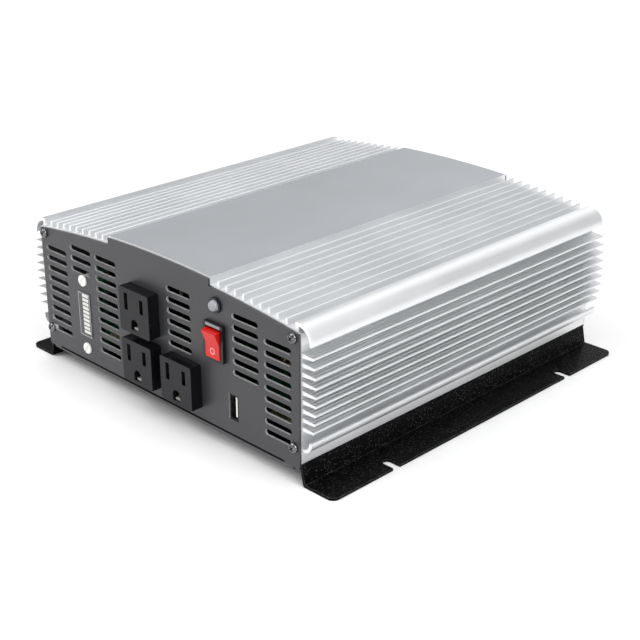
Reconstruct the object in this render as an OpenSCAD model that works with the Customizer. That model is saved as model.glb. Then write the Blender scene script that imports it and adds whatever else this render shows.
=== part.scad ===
// Power inverter: a finned aluminium housing on a slotted steel base, with sheet steel end
// panels, three mains outlets, a rocker switch, a charge display, a USB port, two fans and
// two DC studs. X runs along the front panel, Y from front to back, Z up from the feet.

/* [Body] */
// Width of the end panels
panel_w = 206; // [196:1:250]
// Height of the crown above the surface that the feet stand on
crown_h = 91.5; // [88:0.5:130]
// Length of the housing extrusion
housing_l = 231.8; // [205:0.2:320]
// Radius of the crown's arc across the width
crown_r = 765; // [600:5:1200]
// Width of the plain band along the crown
band_w = 80.8; // [60:0.2:100]
// Height of the band above the deck that the top fins stand on
band_step = 4; // [3:0.1:6]
// Thickness of the extrusion's deck
deck_t = 2.6; // [2:0.1:4]
// Thickness of the extrusion's side walls
wall_t = 3.5; // [2.5:0.1:5]

/* [Fins] */
// Height of the top fins
top_fin_h = 3.6; // [2.5:0.1:5]
// Wanted spacing of the top fins
top_fin_pitch = 5.93; // [5:0.01:8]
// Reach of the longest side fin from the wall
side_fin_reach = 9.7; // [6:0.1:14]
// Wanted spacing of the side fins
side_fin_pitch = 4.74; // [4:0.02:7]
// Radius of the barrel curve through the side fins' tips
side_bulge_r = 100; // [80:1:300]
// Outer radius of the rolled lip along each top corner
lip_r = 9.3; // [8:0.1:11]
// Wall of the rolled lip and of the hook under the side fins
lip_t = 1.7; // [1.2:0.1:2.5]
// Outer radius of the hook under the side fins
hook_r = 5.7; // [4:0.1:7]

/* [Base] */
// Height of the floor sheet's underside above the surface
floor_z = 8.6; // [7.5:0.1:10.5]
// Thickness of the base's steel sheet
base_t = 1.5; // [1:0.1:2.5]
// How far each leg flares outwards on its way down
leg_flare = 2.4; // [0:0.1:4]
// Width of each mounting flange beyond the foot of its leg
flange_w = 18.8; // [15:0.1:30]
// Radius of the flange corners
flange_corner_r = 4; // [1:0.5:8]
// Width of the open mounting slots
slot_w = 5; // [4:0.1:8]
// Depth of the open mounting slots from the flange edge
slot_depth = 8.7; // [6:0.1:14]
// Distance between the front and rear mounting slots
slot_spacing = 143; // [100:1:190]

/* [Panels] */
// Thickness of the end panels
panel_t = 1.2; // [0.8:0.1:2]
// Depth of the fold along the bottom of each end panel
fold_l = 10; // [6:0.5:16]
// Length of the vent slots
vent_l = 18.6; // [12:0.2:21]
// Height of the vent slots
vent_h = 3.3; // [2:0.1:4.5]
// Spacing of the vent rows
vent_pitch = 6; // [5:0.1:9]
// Diameter of the panel screws
panel_screw_d = 3.2; // [2.5:0.1:4]

/* [Outlets] */
// Width of an outlet face
outlet_w = 24.2; // [22:0.1:30]
// Height of an outlet face
outlet_h = 24.5; // [23:0.1:30]
// How far the outlets stand out of the front panel
outlet_proud = 7; // [6.6:0.1:10]
// Sideways spacing of the lower outlets
outlet_pitch_x = 31.9; // [30.5:0.1:40]
// Height from the lower outlets to the upper one
outlet_pitch_z = 29.05; // [29:0.05:35]

/* [Controls] */
// Height of the switch bezel
switch_h = 20.2; // [18:0.1:25]
// Width of the switch bezel
switch_w = 14.6; // [13:0.1:20]
// Travel of the rocker between off and on, in degrees
rocker_travel = 20; // [10:1:24]
// Diameter of the indicator lamp's lens
lamp_d = 6; // [4:0.5:8]
// Height of the display window
window_h = 26; // [20:0.5:32]
// Width of the display window
window_w = 10.5; // [8:0.5:14]

/* [Power parts] */
// Side of the square fan frames
fan_size = 60; // [40:1:60]
// Depth of the fan frames
fan_depth = 20; // [15:1:25]
// Diameter of the DC studs
stud_d = 8; // [6:0.5:9]
// Length of stud beyond the outer nut
stud_free = 11; // [6:0.5:16]
// Number of power transistors along each wall
transistors = 9; // [4:1:10]

/* [Hidden] */
$fn = 64;

slip = 0.1;                                   // clearance round a part that drops into a hole
run_gap = 0.05;                               // radial clearance of a pin that turns in a hole
body_l = panel_t + housing_l;                 // front face of the front panel to the housing's end
back_l = body_l + panel_t;                    // ... to the rear panel's outer face

// heights
floor_top = floor_z + base_t;
wall_foot = floor_z + 3.9;                    // outer bottom edge of the side walls
panel_foot = floor_z + 0.8;                   // bottom corners of the end panels
deck_apex = crown_h - band_step;
panel_apex = deck_apex - 0.6;                 // the panel's edge stops just under the deck
panel_band_apex = crown_h - 0.9;
function arc_drop(x) = crown_r - sqrt(crown_r * crown_r - x * x);

// widths
panel_half = panel_w / 2;
wall_out = panel_half + 0.6;
wall_in = wall_out - wall_t;
lip_x = panel_half - 1.8;                     // centre of the rolled lip
lip_z = deck_apex - arc_drop(lip_x) - 4.8;
lip_back = 1.5;                               // the lip's root reaches this far inwards
lip_start = lip_x - lip_back;
lip_web = 2;
lip_drop = 4.5;
hook_x = wall_out + 0.7;                      // centre of the hook under the side fins
hook_z = wall_foot + 12.2;
band_wall = 3;                                // walls of the hollow under the raised band
band_t = deck_t + 0.6;
leg_out = panel_half + 0.1;                   // outer face of the leg at its top, under the wall
leg_in = leg_out - base_t;
leg_foot_x = leg_out + leg_flare;             // outer face of the leg where it meets its flange
function leg_at(z) = leg_in + leg_flare * (wall_foot - z) / (wall_foot - base_t);
flange_out = leg_foot_x + flange_w;
slot_x = flange_out - slot_depth + slot_w / 2;
mid_y = panel_t + housing_l / 2;

// fins
fin_sink = 0.5;                               // a fin's root starts this far inside the metal
top_fin_root = 1.9;
top_fin_tip = 1.2;
side_fin_root = 2.1;
side_fin_tip = 1;
side_tip_r = 0.55;
side_fin_steps = 4;
side_fin_step = 0.18;
side_low = wall_foot + 14.2;                  // heights that the side fins spread between
side_high = lip_z - 1.7;

// panel screws and the channels that they cut into
screw_x = panel_half - 3.7;
screw_top = panel_apex - arc_drop(panel_half) - 2.5;
screw_low = floor_z + 11.7;
screw_l = 14;
channel_r = 3.6;
head_r = 2.8;
head_h = 2.1;

// seat of the base under the housing
seat_w = 12;
seat_t = 3;
seat_in = wall_in - seat_w + 1;
seat_out = leg_in - 0.2;                      // the seat drops between the legs
base_screw_r = 1.9;
base_screw_x = seat_in + 5;
base_screw_rows = [0.12, 0.5, 0.88];

// outlets
outlet_x = -panel_half + 91.3;
outlet_z = floor_z + 20.15;
outlet_places = [[outlet_x, outlet_z + outlet_pitch_z], [outlet_x, outlet_z],
    [outlet_x + outlet_pitch_x, outlet_z]];
outlet_neck = 1.4;                            // the face laps over the panel by this much
outlet_back = 15;
outlet_corner = 1.2;
blade_gap = 12.7;
blade_w = 2.8;
blade_rise = 4.8;                             // blade slots' centre above the face's centre
blade_hs = [9.4, 7.8];
ground_w = 5.8;
ground_low = 10;                              // flat end of the earth hole below the centre
ground_high = 3.9;
leaf_t = 0.5;
contact_in = 2.5;                             // the contacts start this far behind the face
contact_gap = 0.4;                            // a contact is this much shorter at each end of its slot
web_l = 2;
tab_l = 5;
tab_w = 4.8;
tab_t = 0.8;
join = 0.1;                                   // overlap of two pieces of one part
lead_r = 1.1;

// switch
switch_x = panel_half - 58.4;
switch_z = floor_z + 49.4;
bezel_proud = 2;
rocker_w = switch_w - 4.4;
rocker_gap = 0.3;
rocker_half = switch_h / 2 - 2.7;
pivot_y = 2.5;
pivot_r = 1.2;
rocker_face = 2.6;                            // how far the crease stands out of the panel
switch_cut_w = switch_w - 1.8;
switch_cut_h = switch_h - 1.8;
switch_back = 14;
rocker_heel = 2;
switch_pin_off = 4;                           // solder tabs above and below the switch's middle

// indicator lamp
lamp_x = panel_half - 57.6;
lamp_z = panel_apex - arc_drop(lamp_x) - 8;
lamp_bezel_r = lamp_d / 2 + 1.15;
lamp_hole_r = lamp_d / 2 + 0.6;
lamp_proud = 4;
lamp_bezel_proud = 1.2;
lamp_back = 7;
lens_seat = 2;                                // depth of the step that the lens sits on
lens_step = 0.4;

// display
window_x = -panel_half + 37.4;
window_z = floor_z + 29.7;
display_z_off = 20.2;                         // nylon screws above and below the window's centre
display_back = 8;
bars = 10;
bar_pitch = (window_h - 2) / bars;
bar_w = window_w - 4.9;
bar_h = 0.78 * bar_pitch;
cell_t = 1.4;
window_proud = 0.4;
nylon_head_r = 3.2;
nylon_head_h = 1.2;
nylon_slot_w = 0.7;
nylon_slot_d = 0.5;
nylon_r = 1.5;
spacer_r = 3;

// USB port
usb_x = panel_half - 46.5;
usb_z = floor_z + 17.1;
usb_w = 5.7;
usb_h = 13.1;
usb_wall = 0.3;
usb_depth = 14;
usb_block = 3.5;                              // moulded block that closes the shell's back
usb_tongue = 1.8;
pcb_t = 1.6;

// vent columns: each one's middle, and the row that it starts from
vent_low = floor_z + 12.9;
vent_cols = [[-panel_half + 13.7, 0], [-panel_half + 36.5, 7], [-panel_half + 58.7, 0],
    [-panel_half + 119.3, 4], [panel_half - 36.9, 4], [panel_half - 14.4, 0]];
vent_margin = 4;
slit_half = panel_half - 10.5;
slit_h = 1.2;
fold_half = panel_half - 4.7;
fold_in_r = 0.8;                              // inner radius of the fold's bend
corner_cut = 2;

// main board
board_z = floor_top + 6;
board_top = board_z + pcb_t;
board_half = wall_in - 5;
board_y0 = outlet_back + 13;
board_y1 = body_l - fan_depth - 9;
board_l = board_y1 - board_y0;
standoff_rows = [0.05, 0.46, 0.95];
standoff_x = board_half - 16;
standoff_across_r = 3.2;
sheet_t = 0.4;
standoff_h = board_z - floor_top - sheet_t;
m3_r = 1.5;
m3_head_r = 2.7;
m3_head_h = 1.8;

// cooling fans
fan_x = screw_x - channel_r - fan_size / 2 - 1.2;
fan_roof = deck_apex - deck_t - arc_drop(fan_x + fan_size / 2) - 0.5;
fan_z = min(floor_z + 8 + fan_size / 2, fan_roof - fan_size / 2);
fan_hole = fan_size / 2 - 5;
fan_bore = fan_size / 2 - 1.5;
fan_screw_r = 1.95;
fan_y1 = body_l;
fan_y0 = fan_y1 - fan_depth;
hub_r = fan_size / 2 - 16;
shaft_r = 1.5;
blade_count = 7;
blade_pitch = 38;                             // degrees between a blade and the fan's plane
blade_t = 1.2;
mount_t = 2.5;
boss_r = 3.4;
boss_l = 9;
strut_w = 4;
guard_wire = 0.7;
guard_disc = 0.25;                            // pressed centre disc, as a share of the bore's radius
guard_rings = [0.48, 0.71, 0.94];
eye_lift = 0.3;

// DC studs
stud_r = stud_d / 2;
stud_root_r = stud_r - 0.5;                   // root of the stud's thread, where its nuts hold it
stud_x = (fan_x - fan_size / 2) / 2;
stud_z = floor_z + 38;
collar_t = 4;
collar_r = stud_r + 4.6;
sleeve_r = stud_r + 2;
ring_t = 7;
bar_t = 2;
stud_nut_h = 6.5;
stud_washer_t = 1.2;
stud_in = 10;
stud_y1 = back_l + collar_t + stud_washer_t + stud_nut_h + stud_free;
ground_z = floor_z + 14;

// the row's origin is under the middle of the whole part
front_y = -(stud_y1 - outlet_proud) / 2;

module placed() {
    translate([0, front_y, 0]) children();
}

// ---- small building blocks ----

module both_sides() {
    children();
    mirror([1, 0, 0]) children();
}

// a drawing in X and Z, made solid between two depths
module slab(y0, y1) {
    translate([0, y1, 0]) rotate([90, 0, 0]) linear_extrude(y1 - y0) children();
}

module rod(x, z, r, y0, y1) {
    translate([x, y1, z]) rotate([90, 0, 0]) cylinder(r = r, h = y1 - y0);
}

module tube(x, z, r, bore, y0, y1) {
    difference() {
        rod(x, z, r, y0, y1);
        rod(x, z, bore, y0 - 1, y1 + 1);
    }
}

module box(x0, x1, y0, y1, z0, z1) {
    translate([x0, y0, z0]) cube([x1 - x0, y1 - y0, z1 - z0]);
}

module rounded(w, h, r) {
    square([w - 2 * r, h], center = true);
    square([w, h - 2 * r], center = true);
    for (i = [-1, 1], j = [-1, 1]) {
        translate([i * (w / 2 - r), j * (h / 2 - r)]) circle(r);
    }
}

module stadium(l, h) {
    square([l - h, h], center = true);
    for (i = [-1, 1]) translate([i * (l - h) / 2, 0]) circle(h / 2);
}

// a disc whose top is the crown's arc
module crown(apex) {
    translate([0, apex - crown_r]) circle(crown_r, $fn = 720);
}

module hex_nut(across, h, bore) {
    difference() {
        cylinder(r = across / sqrt(3), h = h, $fn = 6);
        translate([0, 0, -1]) cylinder(r = bore, h = h + 2);
    }
}

// a nut on an axis along Y
module nut_y(x, z, across, bore, y0, h) {
    translate([x, y0 + h, z]) rotate([90, 0, 0]) hex_nut(across, h, bore);
}

// a cross-recessed pan head with its shaft; out is -1 where the head faces the front
module pan_screw(r, l, hr, hh) {
    difference() {
        cylinder(r = hr, h = hh);
        for (a = [0, 90]) {
            rotate([0, 0, a]) translate([-hr * 0.62, -0.4, hh - 1]) cube([hr * 1.24, 0.8, 2]);
        }
    }
    translate([0, 0, -l]) cylinder(r = r, h = l);
}

module screw_front(x, z, y, r, l, hr, hh) {
    translate([x, y, z]) rotate([90, 0, 0]) pan_screw(r, l, hr, hh);
}

module screw_back(x, z, y, r, l, hr, hh) {
    translate([x, y, z]) rotate([-90, 0, 0]) pan_screw(r, l, hr, hh);
}

// a lead through a list of points, with a ball at each bend
module lead(points, r) {
    for (i = [0 : len(points) - 2]) {
        d = points[i + 1] - points[i];
        l = norm(d);
        translate(points[i]) rotate([0, acos(d[2] / l), atan2(d[1], d[0])]) cylinder(r = r, h = l);
        if (i > 0) translate(points[i]) sphere(r);
    }
}

// ---- housing ----

module top_fin(root, tip, h) {
    polygon([[-root / 2, -fin_sink], [root / 2, -fin_sink], [tip / 2, h - tip / 2],
        [-tip / 2, h - tip / 2]]);
    translate([0, h - tip / 2]) circle(tip / 2, $fn = 24);
}

// half outline of a side fin: a taper with small steps along it
function fin_edge(reach, root, tip, steps) = [for (i = [0 : steps - 1], k = [0, 1])
    let (u = (i + k) / steps, t = root + (tip - root) * u)
    [reach * u, t / 2 + k * side_fin_step]];

module side_fin(reach) {
    edge = fin_edge(reach - side_tip_r, side_fin_root, side_fin_tip, side_fin_steps);
    low = [for (e = edge) [e[0], -e[1]]];
    high = [for (i = [len(edge) - 1 : -1 : 0]) edge[i]];
    root = [-fin_sink, side_fin_root / 2];
    polygon(concat([[root[0], -root[1]]], low, high, [root]));
    translate([reach - side_tip_r, 0]) circle(side_tip_r, $fn = 24);
}

module quarter_ring(r, t, from) {
    difference() {
        circle(r);
        circle(r - t);
        rotate(from) translate([-2 * r, -2 * r]) square([2 * r, 4 * r]);
        rotate(from) translate([-2 * r, -2 * r]) square([4 * r, 2 * r]);
    }
}

module lip_section() {
    translate([lip_x, lip_z]) {
        quarter_ring(lip_r, lip_t, 0);
        translate([-lip_back, lip_r - lip_t - lip_drop]) square([lip_web, lip_drop + lip_t / 2]);
        translate([-lip_back, lip_r - lip_t]) square([lip_back + 0.1, lip_t]);
        translate([lip_r - lip_t / 2, 0]) circle(lip_t / 2);
    }
}

module hook_section() {
    translate([hook_x, hook_z]) {
        quarter_ring(hook_r, lip_t, -90);
        translate([hook_r - lip_t / 2, 0]) circle(lip_t / 2);
        translate([-lip_back, -hook_r]) square([lip_back + 0.1, lip_t]);
    }
}

module shell_section() {
    difference() {
        union() {
            intersection() {
                crown(deck_apex);
                translate([-wall_out, wall_foot]) square([2 * wall_out, crown_h]);
            }
            intersection() {
                crown(crown_h);
                translate([-band_w / 2, wall_foot]) square([band_w, crown_h]);
            }
        }
        intersection() {
            crown(deck_apex - deck_t);
            translate([-wall_in, 0]) square([2 * wall_in, crown_h]);
        }
        intersection() {
            crown(crown_h - band_t);
            translate([-band_w / 2 + band_wall, 0]) square([band_w - 2 * band_wall, crown_h]);
        }
    }
}

module housing_section() {
    top_gap = lip_start - band_w / 2;
    top_n = round(top_gap / top_fin_pitch);
    side_n = round((side_high - side_low) / side_fin_pitch);
    side_mid = (side_low + side_high) / 2;
    difference() {
        union() {
            shell_section();
            both_sides() {
                for (i = [1 : top_n - 1]) {
                    x = band_w / 2 + i * top_gap / top_n;
                    translate([x, deck_apex - arc_drop(x)]) top_fin(top_fin_root, top_fin_tip, top_fin_h);
                }
                for (i = [1 : side_n - 1]) {
                    z = side_low + i * (side_high - side_low) / side_n;
                    sag = side_bulge_r - sqrt(pow(side_bulge_r, 2) - pow(z - side_mid, 2));
                    translate([wall_out, z]) side_fin(side_fin_reach - sag);
                }
                lip_section();
                hook_section();
                for (z = [screw_top, screw_low]) translate([screw_x, z]) circle(channel_r);
                translate([seat_in, floor_top]) square([seat_out - seat_in, seat_t]);
            }
        }
        both_sides() for (z = [screw_top, screw_low]) {
            translate([screw_x, z]) circle(panel_screw_d / 2 + run_gap);
        }
    }
}

module base_screw_places() {
    both_sides() for (f = base_screw_rows) {
        translate([base_screw_x, panel_t + f * housing_l, 0]) children();
    }
}

module housing() {
    color("silver") placed() difference() {
        slab(panel_t, body_l) housing_section();
        base_screw_places() translate([0, 0, floor_z - 1]) cylinder(r = base_screw_r + run_gap, h = 9);
    }
}

// ---- base ----

module leg_section() {
    polygon([[leg_in, wall_foot], [leg_out, wall_foot], [leg_foot_x, base_t], [flange_out, base_t],
        [flange_out, 0], [leg_foot_x - base_t / 2, 0], [leg_at(base_t), base_t * 0.6]]);
}

module flange_corner_cut() {
    difference() {
        translate([0, 0, -1]) cube([flange_corner_r + 1, flange_corner_r + 1, base_t + 2]);
        translate([0, 0, -2]) cylinder(r = flange_corner_r, h = base_t + 4);
    }
}

module base_plate() {
    color("#17181a") placed() difference() {
        union() {
            both_sides() slab(panel_t, body_l) leg_section();
            floor_half = leg_at(floor_z) + base_t / 4;
            box(-floor_half, floor_half, panel_t + 0.8, body_l - 0.8, floor_z, floor_top);
        }
        both_sides() {
            for (s = [-1, 1]) {
                translate([slot_x, mid_y + s * slot_spacing / 2, -1]) {
                    cylinder(r = slot_w / 2, h = base_t + 2);
                    translate([0, -slot_w / 2, 0]) cube([slot_depth, slot_w, base_t + 2]);
                }
            }
            translate([flange_out - flange_corner_r, body_l - flange_corner_r, 0]) flange_corner_cut();
            translate([flange_out - flange_corner_r, panel_t + flange_corner_r, 0]) {
                mirror([0, 1, 0]) flange_corner_cut();
            }
        }
        base_screw_places() translate([0, 0, floor_z - 1]) cylinder(r = base_screw_r + slip, h = 4);
        board_posts() translate([0, 0, floor_z - 1]) cylinder(r = m3_r + slip, h = 4);
    }
}

module base_screws() {
    color("#2a2a2c") placed() base_screw_places() translate([0, 0, floor_z]) mirror([0, 0, 1]) {
        pan_screw(base_screw_r, 5.5, 3.4, 2.2);
    }
}

// ---- end panels ----

module panel_outline() {
    intersection() {
        crown(panel_apex);
        translate([-panel_half, panel_foot]) square([panel_w, crown_h]);
    }
    intersection() {
        crown(panel_band_apex);
        translate([-band_w / 2 + 0.1, panel_foot]) square([band_w - 0.2, crown_h]);
    }
}

// the bottom edge rolls back into a fold that lies under the base's floor sheet
module panel_fold() {
    roll = panel_t + fold_in_r;
    difference() {
        translate([-fold_half, roll, panel_foot]) rotate([0, 90, 0]) cylinder(r = roll, h = 2 * fold_half);
        translate([-fold_half - 1, roll, panel_foot]) {
            rotate([0, 90, 0]) cylinder(r = fold_in_r, h = 2 * fold_half + 2);
        }
        box(-panel_half, panel_half, roll, 2 * roll + 1, 0, crown_h);
        box(-panel_half, panel_half, -1, 2 * roll, panel_foot, crown_h);
    }
    box(-fold_half, fold_half, roll, fold_l, panel_foot - roll, panel_foot - roll + panel_t);
}

module panel_blank() {
    difference() {
        union() {
            slab(0, panel_t) panel_outline();
            panel_fold();
        }
        slab(-1, panel_t + 1) {
            translate([0, panel_foot + slit_h / 2]) stadium(2 * slit_half, slit_h);
            both_sides() translate([panel_half, panel_foot]) rotate(45) {
                square(corner_cut, center = true);
            }
        }
        both_sides() for (z = [screw_top, screw_low]) {
            rod(screw_x, z, panel_screw_d / 2 + slip, -1, panel_t + 1);
        }
    }
}

// rows of slots up to the panel's edge, less the metal under the corner screws' heads
module vents() {
    difference() {
        for (c = vent_cols) {
            z0 = vent_low + c[1] * vent_pitch;
            room = panel_apex - arc_drop(abs(c[0]) + vent_l / 2) - vent_margin - vent_h / 2 - z0;
            for (k = [0 : floor(room / vent_pitch)]) {
                translate([c[0], z0 + k * vent_pitch]) stadium(vent_l, vent_h);
            }
        }
        both_sides() for (z = [screw_top, screw_low]) {
            translate([screw_x, z]) circle(head_r - slip);
        }
    }
}

module front_panel() {
    color("#3b3b3f") placed() difference() {
        panel_blank();
        slab(-1, panel_t + 1) {
            vents();
            for (p = outlet_places) {
                translate(p) square([outlet_w - 2 * outlet_neck, outlet_h - 2 * outlet_neck], center = true);
            }
            translate([switch_x, switch_z]) square([switch_cut_w, switch_cut_h], center = true);
            translate([window_x, window_z]) square([window_w, window_h], center = true);
            translate([usb_x, usb_z]) square([usb_w + 1.3, usb_h + 1.1], center = true);
        }
        rod(lamp_x, lamp_z, lamp_hole_r, -1, panel_t + 1);
        for (s = [-1, 1]) {
            rod(window_x, window_z + s * display_z_off, nylon_r + slip, -1, panel_t + 1);
        }
    }
}

module rear_panel() {
    color("#3b3b3f") placed() translate([0, back_l, 0]) mirror([0, 1, 0]) difference() {
        panel_blank();
        both_sides() {
            rod(fan_x, fan_z, fan_bore, -1, panel_t + 1);
            for (i = [-1, 1], j = [-1, 1]) {
                rod(fan_x + i * fan_hole, fan_z + j * fan_hole, fan_screw_r + slip, -1, panel_t + 1);
            }
            rod(stud_x, stud_z, sleeve_r + slip, -1, panel_t + 1);
        }
        rod(0, ground_z, 2.5 + slip, -1, panel_t + 1);
    }
}

module front_screws() {
    color("#1c1c1e") placed() both_sides() for (z = [screw_top, screw_low]) {
        screw_front(screw_x, z, 0, panel_screw_d / 2, screw_l, head_r, head_h);
    }
}

module rear_screws() {
    color("#1c1c1e") placed() both_sides() for (z = [screw_top, screw_low]) {
        screw_back(screw_x, z, back_l, panel_screw_d / 2, screw_l, head_r, head_h);
    }
}

// ---- outlets ----

module ground_hole() {
    translate([0, -(ground_low + ground_high + ground_w / 2) / 2]) {
        square([ground_w, ground_low - ground_high - ground_w / 2], center = true);
    }
    translate([0, -ground_high - ground_w / 2]) circle(ground_w / 2);
}

module blade_slots() {
    for (i = [0, 1]) {
        translate([(2 * i - 1) * blade_gap / 2, blade_rise]) square([blade_w, blade_hs[i]], center = true);
    }
}

module outlet(p) {
    translate([p[0], 0, p[1]]) difference() {
        union() {
            slab(-outlet_proud, 0) rounded(outlet_w, outlet_h, outlet_corner);
            slab(0, outlet_back) {
                square([outlet_w - 2 * outlet_neck - 2 * slip, outlet_h - 2 * outlet_neck - 2 * slip],
                    center = true);
            }
        }
        slab(-outlet_proud - 1, outlet_back + 1) {
            blade_slots();
            ground_hole();
        }
    }
}

module outlet_upper() {
    color("#2c2c30") placed() outlet(outlet_places[0]);
}

module outlet_lower_left() {
    color("#2c2c30") placed() outlet(outlet_places[1]);
}

module outlet_lower_right() {
    color("#2c2c30") placed() outlet(outlet_places[2]);
}

// a spring leaf on each side of a blade slot, joined by a web with a solder tab
module blade_contact(x, h) {
    y0 = -outlet_proud + contact_in;
    w = blade_w / 2;
    z0 = blade_rise - h / 2 + contact_gap;
    z1 = blade_rise + h / 2 - contact_gap;
    for (x0 = [x - w, x + w - leaf_t]) box(x0, x0 + leaf_t, y0, outlet_back, z0, z1);
    box(x - w, x + w, outlet_back - web_l, outlet_back, z0, z1);
    box(x - tab_t / 2, x + tab_t / 2, outlet_back - join, outlet_back + tab_l,
        blade_rise - tab_w / 2, blade_rise + tab_w / 2);
}

module ground_contact() {
    w = ground_w / 2 - contact_gap;
    y0 = -outlet_proud + contact_in - 1;
    box(-w, w, y0, outlet_back, -ground_low, -ground_low + tab_t);
    box(-w, w, outlet_back - web_l, outlet_back, -ground_low, -ground_high - ground_w / 2);
    box(-tab_w / 2, tab_w / 2, outlet_back - join, outlet_back + tab_l, -ground_low, -ground_low + tab_t);
}

module outlet_contacts() {
    color("goldenrod") placed() for (p = outlet_places) translate([p[0], 0, p[1]]) {
        for (i = [0, 1]) blade_contact((2 * i - 1) * blade_gap / 2, blade_hs[i]);
        ground_contact();
    }
}

// each outlet's leads run back from its tabs, then straight down to the main board
module outlet_leads() {
    color("firebrick") placed() for (k = [0, 1, 2]) {
        p = outlet_places[k];
        y0 = outlet_back + tab_l;
        y1 = board_y0 + (k == 0 ? 8 : 3);
        for (q = [[-blade_gap / 2, blade_rise], [blade_gap / 2, blade_rise], [0, -ground_low + 0.4]]) {
            x = p[0] + q[0];
            z = p[1] + q[1];
            lead([[x, y0, z], [x, y1, z], [x, y1, board_top]], lead_r);
        }
    }
}

// ---- rocker switch ----

module switch_body() {
    open_w = rocker_w + 2 * rocker_gap;
    open_h = 2 * rocker_half + 2.4;
    color("#111114") placed() translate([switch_x, 0, switch_z]) difference() {
        union() {
            slab(-bezel_proud, 0) rounded(switch_w, switch_h, 1);
            slab(0, switch_back) {
                square([switch_cut_w - 2 * slip, switch_cut_h - 2 * slip], center = true);
            }
        }
        slab(-bezel_proud - 1, switch_back - 2) square([open_w, open_h], center = true);
        translate([-switch_w, pivot_y, 0]) rotate([0, 90, 0]) {
            cylinder(r = pivot_r + run_gap, h = 2 * switch_w);
        }
        for (s = [-1, 1]) translate([0, 0, s * switch_pin_off]) slab(switch_back - 3, switch_back + 1) {
            square([tab_w + slip, tab_t + 2 * slip], center = true);
        }
    }
}

// The rocker is drawn level and tipped to its off position: its lower half lies in the bezel.
module switch_rocker() {
    tilt = rocker_travel / 2;
    lift = rocker_half * tan(tilt);
    color("#c8201e") placed() translate([switch_x, pivot_y, switch_z]) rotate([tilt, 0, 0]) {
        translate([rocker_w / 2, 0, 0]) rotate([0, -90, 0]) linear_extrude(rocker_w) polygon([
            [0, -rocker_face - pivot_y], [rocker_half, -rocker_face - pivot_y - lift],
            [rocker_half, -pivot_y], [rocker_heel, rocker_heel], [-rocker_heel, rocker_heel],
            [-rocker_half, -pivot_y],
            [-rocker_half, -rocker_face - pivot_y - lift]]);
        pin_l = switch_cut_w - 2 * slip - 0.1;
        translate([-pin_l / 2, 0, 0]) rotate([0, 90, 0]) cylinder(r = pivot_r, h = pin_l);
    }
}

module switch_terminals() {
    color("silver") placed() translate([switch_x, 0, switch_z]) for (s = [-1, 1]) {
        z = s * switch_pin_off;
        box(-tab_w / 2, tab_w / 2, switch_back - 2.5, switch_back + 8, z - tab_t / 2, z + tab_t / 2);
    }
}

// ---- indicator lamp ----

module lamp_bezel() {
    color("#111114") placed() difference() {
        union() {
            rod(lamp_x, lamp_z, lamp_bezel_r, -lamp_bezel_proud, 0);
            rod(lamp_x, lamp_z, lamp_hole_r - slip, 0, lamp_back);
        }
        rod(lamp_x, lamp_z, lamp_d / 2 - lens_step, -lamp_proud, lamp_back + 1);
        rod(lamp_x, lamp_z, lamp_d / 2 + run_gap, -lamp_proud, lens_seat);
    }
}

module lamp_lens() {
    r = lamp_d / 2;
    color("#cfd4d8") placed() {
        translate([lamp_x, r - lamp_proud, lamp_z]) rotate([90, 0, 0]) intersection() {
            sphere(r);
            translate([0, 0, r]) cube(2 * r, center = true);
        }
        rod(lamp_x, lamp_z, r, r - lamp_proud, lens_seat - slip);
        rod(lamp_x, lamp_z, r - lens_step - slip, lens_seat - slip, lamp_back - 1);
    }
}

// ---- charge display ----

module display_window() {
    color("#6a6a72") placed() translate([window_x, 0, window_z]) slab(-window_proud, panel_t) {
        square([window_w - 2 * slip, window_h - 2 * slip], center = true);
    }
}

module bar_places() {
    for (k = [0 : bars - 1]) translate([0, (k - (bars - 1) / 2) * bar_pitch]) children();
}

module display_module() {
    color("#1a1a1d") placed() translate([window_x, 0, window_z]) difference() {
        slab(panel_t, display_back) square([window_w, window_h], center = true);
        slab(0, panel_t + slip + cell_t) bar_places() square([bar_w + slip, bar_h + slip], center = true);
    }
}

module display_bars() {
    color("ivory") placed() translate([window_x, 0, window_z]) {
        slab(panel_t + slip, panel_t + slip + cell_t) bar_places() {
            square([bar_w, bar_h], center = true);
        }
    }
}

module display_holes(r, y0, y1) {
    for (s = [-1, 1]) rod(window_x, window_z + s * display_z_off, r, y0, y1);
}

module display_board() {
    y1 = display_back + pcb_t;
    color("darkgreen") placed() difference() {
        translate([window_x, 0, window_z]) slab(display_back, y1) {
            square([window_w + 5, 2 * display_z_off + 10], center = true);
        }
        display_holes(nylon_r + slip, 0, 2 * display_back);
    }
}

module display_spacers() {
    color("ivory") placed() difference() {
        display_holes(spacer_r, panel_t, display_back);
        display_holes(nylon_r + slip, 0, 2 * display_back);
    }
}

module display_screws() {
    color("white") placed() difference() {
        union() {
            display_holes(nylon_head_r, -nylon_head_h, 0);
            display_holes(nylon_r, 0, display_back + pcb_t + 4);
        }
        for (s = [-1, 1]) translate([window_x, 0, window_z + s * display_z_off]) {
            rotate([0, 35, 0]) box(-nylon_head_r - 1, nylon_head_r + 1, -nylon_head_h - 1,
                nylon_slot_d - nylon_head_h, -nylon_slot_w / 2, nylon_slot_w / 2);
        }
    }
}

module display_nuts() {
    color("ivory") placed() for (s = [-1, 1]) {
        nut_y(window_x, window_z + s * display_z_off, 5.5, nylon_r + run_gap, display_back + pcb_t, 2.4);
    }
}

// ---- USB port ----

module usb_shell() {
    color("silver") placed() translate([usb_x, 0, usb_z]) difference() {
        slab(0.2, usb_depth) square([usb_w, usb_h], center = true);
        slab(-1, usb_depth - usb_wall) square([usb_w - 2 * usb_wall, usb_h - 2 * usb_wall], center = true);
    }
}

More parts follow.
